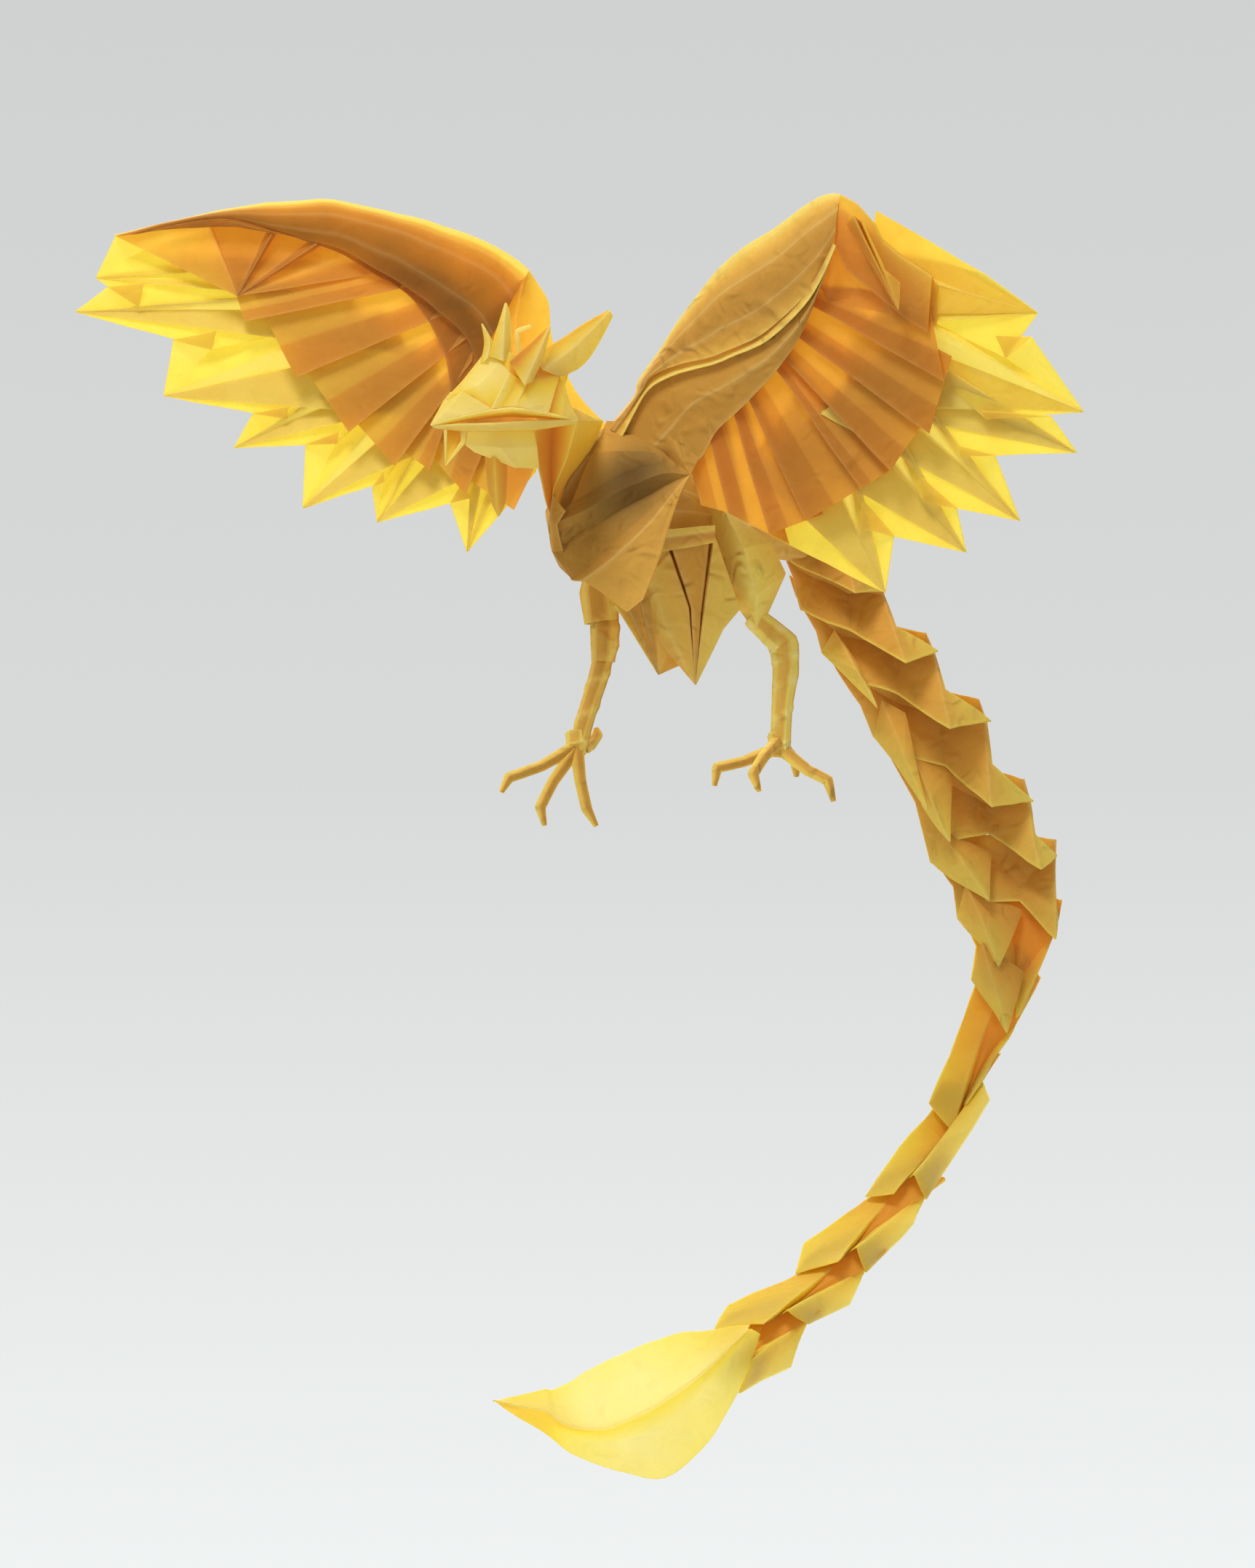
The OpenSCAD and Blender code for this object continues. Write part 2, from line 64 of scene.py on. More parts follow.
def bend(points, u):
    """Smooth path through the points: on each run a cubic whose slopes follow the points on both sides."""
    points = np.asarray(points, float)
    k, t = find_run(points, u)
    last = points.shape[-2] - 1
    a, b, c, d = (points[..., np.clip(k + step, 0, last), :] for step in (-1, 0, 1, 2))
    square = 2 * a - 5 * b + 4 * c - d
    cube = 3 * b - a - 3 * c + d
    return b + (c - a) * t / 2 + square * t**2 / 2 + cube * t**3 / 2


FOLD_CROWDING = 0.75
FOLD_MARK_W = 0.4


def near_folds(runs, parts):
    """Shares from 0 to 1 that cut each run into parts, crowded towards both its ends by a sine."""
    f = np.linspace(0, runs, runs * parts + 1)
    return (f - FOLD_CROWDING * np.sin(2 * np.pi * f) / (2 * np.pi)) / runs


def folded(net, along, across, path_along=straight, path_across=straight, marked=None, facet_shade=None):
    """Sheet through a net of corners [line][point][x, y, z, layers with painted shade]: paths run along each
    line first, then across from line to line. Facet shade adds painted shade to the layers between two
    lines. The fifth column is the fold mark, 1 on a marked line, fading to 0 over the width of the mark,
    which the paper paints as a pale highlight."""
    net = np.asarray(net, float)
    lines = path_along(net, near_folds(net.shape[1] - 1, along))
    v = near_folds(len(net) - 1, across)
    grid = path_across(np.moveaxis(lines, 0, -2), v)
    lines_at = v * (len(net) - 1)
    facet_at = np.minimum(lines_at.astype(int), len(net) - 2)
    if facet_shade is not None:
        grid[..., 3] += np.array(facet_shade)[facet_at]
    shown = np.arange(len(net)) if marked is None else np.array(marked)
    off_line = np.abs(lines_at[:, None] - shown).min(axis=1)
    facet_w = np.linalg.norm(np.diff(lines[..., :3], axis=0), axis=-1)[facet_at].T
    mark = np.exp(-((off_line * facet_w / FOLD_MARK_W) ** 2))
    return np.concatenate([grid, mark[..., None]], axis=-1)


WAVES = 14
ripple_draw = np.random.default_rng(11)
RIPPLE_WAVE = ripple_draw.normal(size=(WAVES, 3)) * np.geomspace(0.09, 0.75, WAVES)[:, None]
RIPPLE_PUSH = ripple_draw.normal(size=(WAVES, 3)) / np.geomspace(1.0, 7.0, WAVES)[:, None]
RIPPLE_SHIFT = ripple_draw.uniform(0, 2 * np.pi, WAVES)


def rippled(p, amount):
    """Handled paper: a sum of sine waves over space, shorter ones weaker, pushes every point a little."""
    return p + amount * np.sin(p @ RIPPLE_WAVE.T + RIPPLE_SHIFT) @ RIPPLE_PUSH


def set_out(p):
    """Points measured in the plane of the hang point, moved along their sight line to their own depth y."""
    flat = p * [1, 0, 1]
    return EYE + (flat - EYE) * (1 + p[..., 1:2] / -EYE[1]) * [1, 0, 1] + (p - EYE) * [0, 1, 0]


NO_AREA = 1e-9
ONE_POINT = 1e-6


def thickened(grid, ripple, closed):
    """Closed thin wall on a grid: two skins half the paper's thickness off it, and rims on open edges.
    An end that is one point takes the mean of its neighbours' normals."""
    rows, cols = grid.shape[:2]
    mid = rippled(set_out(grid[..., :3]), ripple)
    down = np.gradient(mid, axis=0)
    over = np.gradient(mid, axis=1)
    if closed:
        over[:, [0, -1]] = ((mid[:, 1] - mid[:, 0]) + (mid[:, -1] - mid[:, -2]))[:, None] / 2
    normal = np.cross(down, over)
    size = np.linalg.norm(normal, axis=-1, keepdims=True)
    normal = normal / np.where(size < NO_AREA, 1, size)
    for end, beside in ((0, 1), (-1, -2)):
        if np.ptp(mid[end], axis=0).max() < ONE_POINT:
            normal[end] = normal[beside].mean(axis=0)
    skins = np.concatenate([mid + normal * PAPER_T / 2, mid - normal * PAPER_T / 2]).reshape(-1, 3)
    at = np.arange(rows * cols).reshape(rows, cols)
    under = at + rows * cols
    quads = [
        np.stack([at[:-1, :-1], at[1:, :-1], at[1:, 1:], at[:-1, 1:]], -1),
        np.stack([under[:-1, :-1], under[:-1, 1:], under[1:, 1:], under[1:, :-1]], -1),
        np.stack([at[0, :-1], at[0, 1:], under[0, 1:], under[0, :-1]], -1),
        np.stack([at[-1, 1:], at[-1, :-1], under[-1, :-1], under[-1, 1:]], -1),
    ]
    if not closed:
        quads.append(np.stack([at[1:, 0], at[:-1, 0], under[:-1, 0], under[1:, 0]], -1))
        quads.append(np.stack([at[:-1, -1], at[1:, -1], under[1:, -1], under[:-1, -1]], -1))
    marks = np.tile(grid[..., 3:].reshape(-1, 2), (2, 1))
    return skins, marks, np.concatenate([q.reshape(-1, 4) for q in quads])


# Face colours along the attribute of layers and painted shade: the darker, more orange stops are painted
# shade, the look of stacked layers and of facets turned from the light.
FACE_TONES = [
    (0.97, 0.83, 0.36), (0.94, 0.75, 0.15), (0.84, 0.50, 0.09), (0.62, 0.33, 0.055), (0.36, 0.20, 0.04),
    (0.16, 0.085, 0.02),
]
THROUGH_TONES = [
    (1.0, 0.97, 0.58), (1.0, 0.94, 0.28), (0.98, 0.70, 0.15), (0.86, 0.46, 0.08), (0.55, 0.29, 0.06),
    (0.3, 0.15, 0.03),
]
# Colour of the painted pale highlight along the folds.
FOLD_HIGHLIGHT = (0.98, 0.80, 0.30)


def dyed_and_shaded_paper(name, see_through, crumpled):
    """Thin gold paper: the attribute of layers and painted shade sets the tone, darker and more orange as
    painted shade;
    fibres and soft blots break it up, folds get a painted pale highlight, handling leaves fine ridges, and
    part of the light comes through from behind."""
    mat = bpy.data.materials.new(name)
    mat.use_nodes = True
    tree = mat.node_tree
    tree.nodes.clear()

    def node(kind, sockets=(), **settings):
        made = tree.nodes.new(kind)
        for key, value in settings.items():
            setattr(made, key, value)
        for key, value in dict(sockets).items():
            made.inputs[key].default_value = value
        return made

    def join(a, out, b, into):
        tree.links.new(a.outputs[out], b.inputs[into])

    def noise(scale, detail, roughness, **settings):
        sockets = {"Scale": scale, "Detail": detail, "Roughness": roughness}
        made = node("ShaderNodeTexNoise", sockets, **settings)
        join(place, "Object", made, "Vector")
        return made

    def between(pattern, low, high):
        made = node("ShaderNodeMapRange", {"To Min": low, "To Max": high})
        join(pattern, "Fac", made, "Value")
        return made

    def raised(pattern, strength, height):
        made = node("ShaderNodeBump", {"Strength": strength, "Distance": height})
        join(pattern, "Fac", made, "Height")
        return made

    def tones(colours):
        ramp = node("ShaderNodeValToRGB")
        stops = ramp.color_ramp.elements
        while len(stops) < len(colours):
            stops.new(1.0)
        for k, colour in enumerate(colours):
            stops[k].position = k / (len(colours) - 1)
            stops[k].color = (*colour, 1)
        join(uneven, "Value", ramp, "Fac")
        return ramp

    place = node("ShaderNodeTexCoord")
    fibre = noise(1500.0, 5.0, 0.7)
    blot = noise(110.0, 4.0, 0.6)
    crumple = noise(75.0, 4.0, 0.5, noise_type="RIDGED_MULTIFRACTAL")
    crease = noise(190.0, 2.0, 0.5, noise_type="RIDGED_MULTIFRACTAL")
    crease.inputs["Distortion"].default_value = 0.8

    # Attribute of the count of layers with painted shade and light added; it picks the face and through
    # colours.
    layers = node("ShaderNodeAttribute", attribute_name="layers")
    share = node("ShaderNodeMath", {1: 0.2, 2: -0.06}, operation="MULTIPLY_ADD")
    join(layers, "Fac", share, 0)
    uneven = node("ShaderNodeMath", {1: 0.12}, operation="MULTIPLY_ADD")
    join(blot, "Fac", uneven, 0)
    join(share, "Value", uneven, 2)
    face = tones(FACE_TONES)
    through = tones(THROUGH_TONES)

    grain = between(fibre, 0.86, 1.12)
    grained = node("ShaderNodeMix", {0: 1.0}, data_type="RGBA", blend_type="MULTIPLY")
    join(face, "Color", grained, 6)
    join(grain, "Result", grained, 7)
    # Painted highlight: the fold mark mixes the paper towards a pale colour along every marked fold.
    fold = node("ShaderNodeAttribute", attribute_name="fold")
    fold_highlight = node("ShaderNodeMath", {1: 0.28}, operation="MULTIPLY")
    join(fold, "Fac", fold_highlight, 0)
    pale = node("ShaderNodeMix", {7: (*FOLD_HIGHLIGHT, 1)}, data_type="RGBA")
    join(fold_highlight, "Value", pale, 0)
    join(grained, 2, pale, 6)

    creased = raised(crumple, crumpled, 0.0022)
    pinched = raised(crease, crumpled, 0.0016)
    fuzzy = raised(fibre, 0.3, 0.00015)
    join(creased, "Normal", pinched, "Normal")
    join(pinched, "Normal", fuzzy, "Normal")

    rough = between(fibre, 0.62, 0.85)
    skin = node("ShaderNodeBsdfPrincipled", {"Specular IOR Level": 0.25})
    join(pale, 2, skin, "Base Color")
    join(rough, "Result", skin, "Roughness")
    join(fuzzy, "Normal", skin, "Normal")
    glow = node("ShaderNodeBsdfTranslucent")
    join(through, "Color", glow, "Color")
    join(fuzzy, "Normal", glow, "Normal")
    both = node("ShaderNodeMixShader", {0: see_through})
    join(skin, "BSDF", both, 1)
    join(glow, "BSDF", both, 2)
    join(both, "Shader", node("ShaderNodeOutputMaterial"), "Surface")
    return mat


thin_paper = dyed_and_shaded_paper("thin_gold_paper", see_through=0.6, crumpled=0.35)
packed_paper = dyed_and_shaded_paper("packed_gold_paper", see_through=0.2, crumpled=0.8)
hood_paper = dyed_and_shaded_paper("hood_gold_paper", see_through=0.38, crumpled=0.8)
rolled_paper = dyed_and_shaded_paper("rolled_gold_paper", see_through=0.06, crumpled=0.9)
MERGE = 2e-6
SHARP_FOLD = math.radians(17)


def paper_piece(name, grids, material, ripple=0.12, closed=False):
    """One piece of the figure from its folded sheets, set in the frame in place of the plain solid."""
    points, marks, quads = [], [], []
    count = 0
    for grid in grids:
        skin, mark, faces = thickened(grid, ripple, closed)
        points.append(skin)
        marks.append(mark)
        quads.append(faces + count)
        count += len(skin)
    mesh = bpy.data.meshes.new(name)
    mesh.from_pydata(np.concatenate(points) * MM, [], np.concatenate(quads).tolist())
    # The first attribute is the count of layers with painted shade and light added, the second the mask of
    # the painted fold highlights.
    for column, label in enumerate(("layers", "fold")):
        values = np.concatenate(marks)[:, column].astype(np.float32)
        mesh.attributes.new(label, "FLOAT", "POINT").data.foreach_set("value", values)
    work = bmesh.new()
    work.from_mesh(mesh)
    bmesh.ops.remove_doubles(work, verts=work.verts, dist=MERGE)
    bmesh.ops.dissolve_degenerate(work, edges=work.edges, dist=MERGE)
    bmesh.ops.recalc_face_normals(work, faces=work.faces)
    work.to_mesh(mesh)
    work.free()
    mesh.shade_smooth()
    mesh.set_sharp_from_angle(angle=SHARP_FOLD)
    mesh.materials.append(material)
    piece = bpy.data.objects.new(name, mesh)
    bpy.context.scene.collection.objects.link(piece)
    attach(piece, "root")
    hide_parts("folded_phoenix")


BODY_L, BODY_W, BODY_H = 82.0, 28.0, 36.0
HEADING = math.radians(45)


def from_body(a, b, z):
    """Point given forward along the body, to its left side, and up, turned by the body's heading."""
    x = b * math.cos(HEADING) - a * math.sin(HEADING)
    y = -a * math.cos(HEADING) - b * math.sin(HEADING)
    return np.array([x, y, z])


def body_ring(a, w, top, low, layers):
    """Pleated ring round the body at a share a of its length: its corners step in and out, by shares of the
    width w, on the way from the back, top, to the belly, low."""
    half = [[0, 0], [0.45, 0.12], [0.62, 0.34], [1.0, 0.5], [0.78, 0.7], [0.5, 0.9]]
    corners = half + [[0, 1]] + [[-out, down] for out, down in half[::-1]]
    ring = [from_body(a * BODY_L, out * w * BODY_W / 2, (top + (low - top) * down) * BODY_H)
            for out, down in corners]
    return np.column_stack([ring, np.full(len(ring), layers)])


body_rings = [body_ring(0.2, 0.12, -0.45, -0.8, 3), body_ring(0.12, 0.66, -0.08, -0.98, 3),
              body_ring(0, 0.9, 0, -1, 2.6), body_ring(-0.2, 0.95, -0.08, -1, 2.4),
              body_ring(-0.42, 0.8, -0.3, -0.95, 2.2), body_ring(-0.65, 0.5, -0.52, -0.84, 2.2),
              body_ring(-0.79, 0.36, -0.6, -0.86, 2.4)]
body_net = np.swapaxes(np.array(body_rings), 0, 1)
paper_piece("body_fold", [folded(body_net, 5, 5)], packed_paper, 0.2, closed=True)

# The right wing feathers: the edge of the sheet pleated into six long points and a squared hand corner.
# They are one layer thick, so light shines through them most; each pleat tucks behind the next one.
right_tips = [
    (-116.7, 34.2), (-121.5, 26.5), (-101.2, 7.0), (-85.0, -4.8), (-69.4, -18.5), (-52.2, -21.8),
    (-31.6, -28.8),
]
right_notches = [
    (-111.9, 43.8), (-114.0, 32.2), (-99.1, 20.0), (-80.6, 3.1), (-68.5, -4.1), (-53.4, -13.8),
    (-35.6, -17.4),
]
right_feet = [
    (-106.9, 27.6), (-90.2, 17.6), (-73.1, 1.8), (-61.6, -3.9), (-50.7, -12.6), (-31.0, -16.2),
    (-16.0, -10.0),
]
right_pockets = [(-105.7, 32.9), (-89.1, 22.0), (-72.2, 4.6), (-61.0, -1.1), (-50.9, -10.3), (-33.0, -13.0)]
right_creases = [
    [(-100.0, 36.5), (-88.0, 31.5)],
    [(-83.8, 26.0), (-77.0, 20.8)],
    [(-72.4, 13.5), (-63.1, 4.1)],
    [(-62.5, 3.0), (-61.0, 0.9)],
    [(-52.1, -6.2), (-49.6, -9.1)],
    [(-43.2, -7.3), (-35.0, -13.0)],
    [(-31.0, -14.0), (-24.0, -12.0)],
]
right_first_foot = (-105.0, 41.0)
right_elbow = (-17.5, 35.1)
RIGHT_ROOT_DEPTH = 3.0
RIGHT_SWEEP = 0.22


def right_wing(x, z, lift, layers):
    """Point on the right wing, which sweeps back as it reaches out; lift brings it towards the viewer."""
    return [x, RIGHT_ROOT_DEPTH - RIGHT_SWEEP * x - lift, z, layers]


FEATHER_LAYERS = 0.75
# Painted shade per facet: the facets of a feather are painted lighter and darker in turn, as if turned to
# and from the light.
FEATHER_FACET_SHADE = [0.1, 0.35, -0.15, 0.25, -0.15, 0.3]
CREASE_REACH = 1.75
POCKET_REACH = 0.55


def feather(wing, tip, notch, last_foot, creases, foot, joint):
    """Fan of facets from a feather's tip: to its upper notch, the pocket of the pleat before it, the
    creases drawn on under the coverts, and its own pocket; both pockets run on towards the wing's joint."""
    inner = [np.add(tip, np.subtract(c, tip) * CREASE_REACH) for c in creases]
    upper, lower = (np.add(f, np.subtract(joint, f) * POCKET_REACH) for f in (last_foot, foot))
    rim = [(notch, 0.2), (last_foot, -2.8), (upper, 2.0), (inner[0], -3.0), (inner[1], 3.0), (lower, -1.5),
           (foot, 0.8)]
    return [[wing(*tip, 0, FEATHER_LAYERS), wing(*corner, lift, FEATHER_LAYERS)] for corner, lift in rim]


def feathered(wing, tips, notches, feet, first_foot, pockets, creases, joint):
    """All feathers of a wing, then the small pockets that close the pleats between them."""
    fans = []
    for tip, notch, last_foot, lines, foot in zip(tips, notches, [first_foot] + feet, creases, feet):
        net = feather(wing, tip, notch, last_foot, lines, foot, joint)
        fans.append(folded(net, 14, 9, facet_shade=FEATHER_FACET_SHADE))
    for notch, foot, pocket in zip(notches[1:], feet, pockets):
        point = wing(*notch, 0.7, 1.2)
        fans.append(folded([[point, wing(*foot, 0.9, 1.3)], [point, wing(*pocket, 1.6, 1.3)]], 8, 6))
    return fans


right_fans = feathered(right_wing, right_tips, right_notches, right_feet, right_first_foot, right_pockets,
                       right_creases, right_elbow)
paper_piece("right_wing_feathers", right_fans, thin_paper, 0.1)

# The right wing coverts: knife pleats laid over the feathers, the lower edge of each over the next.
# Every pleat hides a strip of itself under the one above, so it darkens by a layer towards its edge.
right_coverts = [
    ((-54.2, 36.0), (-84.1, 28.7), (-82.7, 24.2), (-46.7, 32.0)),
    ((-46.7, 32.0), (-77.7, 25.3), (-70.6, 11.4), (-40.7, 24.2)),
    ((-40.7, 24.2), (-67.8, 12.1), (-58.8, -1.1), (-36.1, 16.9)),
    ((-36.1, 16.9), (-56.0, 0.0), (-48.2, -8.7), (-35.0, 9.1)),
    ((-35.0, 9.1), (-45.3, -6.2), (-40.2, -9.8), (-35.7, 3.4)),
    ((-35.7, 3.4), (-38.5, -8.0), (-32.0, -15.3), (-28.2, -5.9)),
    ((-28.2, -4.0), (-31.0, -12.0), (-21.0, -19.0), (-14.0, -4.0)),
]
COVERT_ROOT = 0.35
COVERT_ROOT_LAYERS = 0.4
COVERT_ROWS = [(-0.5, 2.0, 2.0), (0.0, 2.7, 1.5), (0.45, 3.6, 1.6), (0.5, 3.7, 2.1), (1.0, 4.6, 2.2)]


def covert(wing, top_in, top_out, low_out, low_in, more):
    """Knife pleat: each row lies a share of the way from the upper edge, with a tuck before it, to the free
    lower fold, which stands proud; the inner ends run on under the leading edge."""
    inner_top, inner_low = (np.add(i, np.subtract(i, o) * COVERT_ROOT)
                            for i, o in ((top_in, top_out), (low_in, low_out)))
    net = []
    for share, lift, layers in COVERT_ROWS:
        inner = inner_top + (inner_low - inner_top) * share
        outer = np.add(top_out, np.subtract(low_out, top_out) * share)
        tone = layers + more
        net.append([wing(*inner, lift, tone + COVERT_ROOT_LAYERS), wing(*outer, lift, tone)])
    return folded(net, 12, 6, marked=[4])


paper_piece("right_wing_coverts", [covert(right_wing, *pleat, more=0.0) for pleat in right_coverts],
            thin_paper, 0.1)

# The right wing hand: a plain panel at the wrist and two narrow pleats that fan out from one point.
# It lies over the first feathers, and its upper ends run under the flap of the leading edge.
hand_point = (-84.4, 30.0, 4.0)
hand_rim = [
    (-111.9, 43.8, 1.0, 1.7), (-91.6, 48.8, 2.6, 1.9), (-90.5, 47.5, 1.2, 2.6), (-77.4, 45.8, 2.2, 2.7),
    (-75.9, 45.3, 5.0, 3.2), (-75.0, 45.2, 1.6, 2.8), (-67.8, 43.0, 2.4, 2.6), (-66.2, 42.2, 5.4, 3.2),
    (-65.0, 41.8, 1.8, 2.7), (-59.0, 39.5, 3.0, 2.2), (-53.0, 35.4, 3.4, 2.2),
]
hand_net = [[right_wing(*hand_point, corner[3]), right_wing(*corner)] for corner in hand_rim]
paper_piece("right_wing_hand", [folded(hand_net, 14, 6)], thin_paper, 0.08)

# The right leading edge: several layers rolled together and folded down over the roots of the coverts.
# Its rim is thin and painted bright, its middle full and painted dark as shade; a second band shows below
# it.
right_lead = [
    (-111.9, 43.8), (-91.6, 49.1), (-78.1, 51.2), (-62.4, 51.8), (-47.8, 48.8), (-35.3, 45.2),
    (-23.9, 40.4), (-17.5, 35.8),
]
right_flap = [
    (-105.0, 44.8), (-88.0, 48.1), (-71.0, 44.0), (-60.0, 40.7), (-50.0, 35.0), (-40.0, 28.0),
    (-32.0, 21.2), (-29.0, 15.0),
]
right_band = [
    (-86.0, 47.5), (-71.0, 43.8), (-60.0, 40.0), (-50.5, 34.0), (-44.6, 29.7), (-40.0, 23.5),
    (-36.5, 17.0), (-34.8, 8.7),
]
# Rows of share, lift and layers with painted shade: pale at the rim, dark in the full middle.
flap_rows = [
    (0.0, 0.2, 0.8), (0.05, 2.4, 0.8), (0.12, 4.6, 2.2), (0.3, 7.2, 3.2), (0.7, 7.6, 3.8),
    (1.0, 6.2, 3.5),
]


def full_flap(wing, edge, fold, rows, start, end):
    """Flap from a wing's edge to the fold below: each row lies a share of the way and stands out by its
    lift times a sine, from start to end along the row, so that the flap is fullest in between."""
    edge, fold = np.array(edge), np.array(fold)
    fullness = np.sin(np.linspace(start, end, len(edge)))
    net = []
    for share, lift, layers in rows:
        row = edge + (fold - edge) * share
        net.append([wing(x, z, lift * full, layers) for (x, z), full in zip(row, fullness)])
    return net


def laid(wing, rows):
    """Net on a wing from rows of a line, how far it lifts off the wing, and its layers."""
    return [[wing(x, z, lift, layers) for x, z in line] for line, lift, layers in rows]


flap_net = full_flap(right_wing, right_lead, right_flap, flap_rows, 0.35, 2.2)
band_net = laid(right_wing, ((right_flap, 4.6, 3.4), (right_band, 5.0, 3.1)))
paper_piece("right_wing_lead", [folded(flap_net, 6, 6, bend, bend), folded(band_net, 6, 8, bend)],
            thin_paper, 0.25)

# The right wing root: the panel between elbow and back, folded sharply at the elbow.
# It is two or three layers thick; its inner edge meets the coverts and its lower end goes into the body.
root_outer = [(-17.5, 35.8), (-12.9, 29.0), (-12.0, 19.7), (-7.0, 8.0), (0.0, 0.0)]
root_mid = [(-18.5, 34.0), (-20.0, 24.0), (-20.0, 15.0), (-15.0, 5.0), (-7.0, -5.0)]
root_inner = [(-20.0, 33.0), (-31.5, 19.8), (-34.4, 11.0), (-33.0, 2.0), (-20.0, -9.0)]
root_net = laid(right_wing, ((root_outer, 0.4, 1.6), (root_mid, 4.5, 2.1), (root_inner, 3.6, 3.0)))
paper_piece("right_wing_root", [folded(root_net, 6, 8, bend)], thin_paper, 0.25)

# The left wing feathers: six points as on the right wing, turned towards the viewer.
# A last sheet closes the back of the wing between the first feather and the wrist.
left_tips = [(99.1, 26.1), (109.7, 3.4), (108.2, -5.8), (95.1, -21.2), (82.6, -28.6), (63.9, -38.0)]
left_notches = [(86.8, 35.4), (97.6, 20.6), (101.9, 2.5), (89.3, -6.3), (80.4, -18.3), (66.0, -24.6)]
left_feet = [(91.8, 15.7), (87.3, 1.8), (81.3, -6.7), (72.7, -17.0), (57.9, -23.2), (37.3, -24.5)]
left_pockets = [(89.3, 20.9), (86.3, 3.7), (81.2, -4.4), (72.3, -11.2), (58.9, -16.7)]
left_creases = [
    [(81.0, 30.0), (76.3, 24.2)],
    [(79.2, 13.7), (78.5, 4.3)],
    [(77.0, 2.0), (76.3, 0.7)],
    [(70.9, -3.7), (69.1, -7.3)],
    [(63.6, -11.6), (58.5, -15.0)],
    [(52.4, -19.2), (46.0, -21.5)],
]
left_first_foot = (70.0, 40.0)
left_wrist = (50.0, 36.0)
LEFT_SWEEP = 0.65
LEFT_BOW = 0.0015
LEFT_TWIST = 500.0
LEFT_LEVEL = 20.0


def left_wing(x, z, lift, layers):
    """Point on the left wing, which comes forward in a bow as it reaches out, and twists back below a level;
    lift brings it towards the viewer."""
    twist = (LEFT_LEVEL - z) * x / LEFT_TWIST
    return [x, x * (LEFT_BOW * x - LEFT_SWEEP) + twist - lift, z, layers]


left_fans = feathered(left_wing, left_tips, left_notches, left_feet, left_first_foot, left_pockets,
                      left_creases, left_wrist)
back_net = [[left_wing(*left_tips[0], 0, 1.0), left_wing(*left_tips[0], 0, 1.0)],
            [left_wing(*left_notches[0], -1.0, 1.2), left_wing(76.0, 26.0, 1.0, 1.4)],
            [left_wing(62.0, 49.7, -1.5, 1.5), left_wing(60.0, 36.0, 1.0, 1.8)]]
left_fans.append(folded(back_net, 10, 10))
paper_piece("left_wing_feathers", left_fans, thin_paper, 0.1)

# The left wing coverts: eight knife pleats that fan down from under the flap of the arm.
# They lie closer than on the right wing, so half a layer more shows through each.
left_coverts = [
    ((52.8, 30.3), (75.2, 23.4), (77.7, 10.3), (49.5, 26.7)),
    ((49.5, 26.7), (77.7, 10.3), (74.3, -1.4), (45.9, 19.5)),
    ((45.9, 19.5), (72.0, -0.4), (65.4, -9.8), (41.6, 15.1)),
    ((41.6, 15.1), (63.3, -10.9), (58.4, -13.9), (39.3, 13.0)),
    ((39.3, 13.0), (58.4, -13.9), (45.6, -21.5), (33.6, 4.7)),
    ((33.6, 4.7), (45.6, -21.5), (37.3, -24.5), (30.0, 0.7)),
    ((30.0, 0.7), (37.3, -24.5), (28.0, -19.9), (24.6, -5.8)),
    ((25.6, -4.0), (29.0, -20.0), (22.0, -18.0), (19.5, -9.0)),
]
paper_piece("left_wing_coverts", [covert(left_wing, *pleat, more=0.5) for pleat in left_coverts],
            thin_paper, 0.12)

# The left wing hand: the folded ridge from the wrist outwards, and the slit spike folded out of it.
# The palm below the ridge is a fan of two or three layers, which runs on under the coverts.
hand_ridge = [(53.9, 53.1), (57.5, 51.0), (61.5, 46.6), (63.5, 42.6), (67.6, 39.3), (74.8, 34.4)]
hand_low = [(52.5, 42.0), (55.0, 36.0), (60.0, 32.0), (65.0, 28.0), (70.0, 24.0), (74.1, 21.6)]
ridge_net = laid(left_wing, ((hand_ridge, -1.0, 1.3), (hand_ridge, 3.2, 1.4), (hand_low, 4.0, 2.7)))
palm_point = (53.5, 51.0, 2.0, 2.8)
palm_rim = [
    (48.0, 34.0, 3.4, 3.0), (51.0, 29.0, 3.0, 2.8), (58.0, 27.5, 1.8, 2.4), (66.0, 25.5, 2.6, 2.2),
    (76.0, 23.0, 1.6, 1.8), (76.0, 33.0, 1.0, 1.6),
]
palm_net = [[left_wing(*palm_point), left_wing(*corner)] for corner in palm_rim]
spike_tip = (67.4, 26.6, 8.0, 1.6)
spike_rim = [
    (55.2, 46.5, 4.4, 2.4), (56.8, 48.4, 9.0, 1.6), (57.4, 47.6, 5.0, 3.4), (58.0, 47.2, 4.6, 3.4),
    (59.0, 46.8, 9.4, 1.6), (64.0, 36.0, 9.0, 1.5), (67.6, 33.0, 7.0, 1.6),
]
spike_net = [[left_wing(*spike_tip), left_wing(*corner)] for corner in spike_rim]
hand_grids = [folded(ridge_net, 6, 6), folded(palm_net, 12, 6), folded(spike_net, 12, 5)]
paper_piece("left_wing_hand", hand_grids, thin_paper, 0.15)

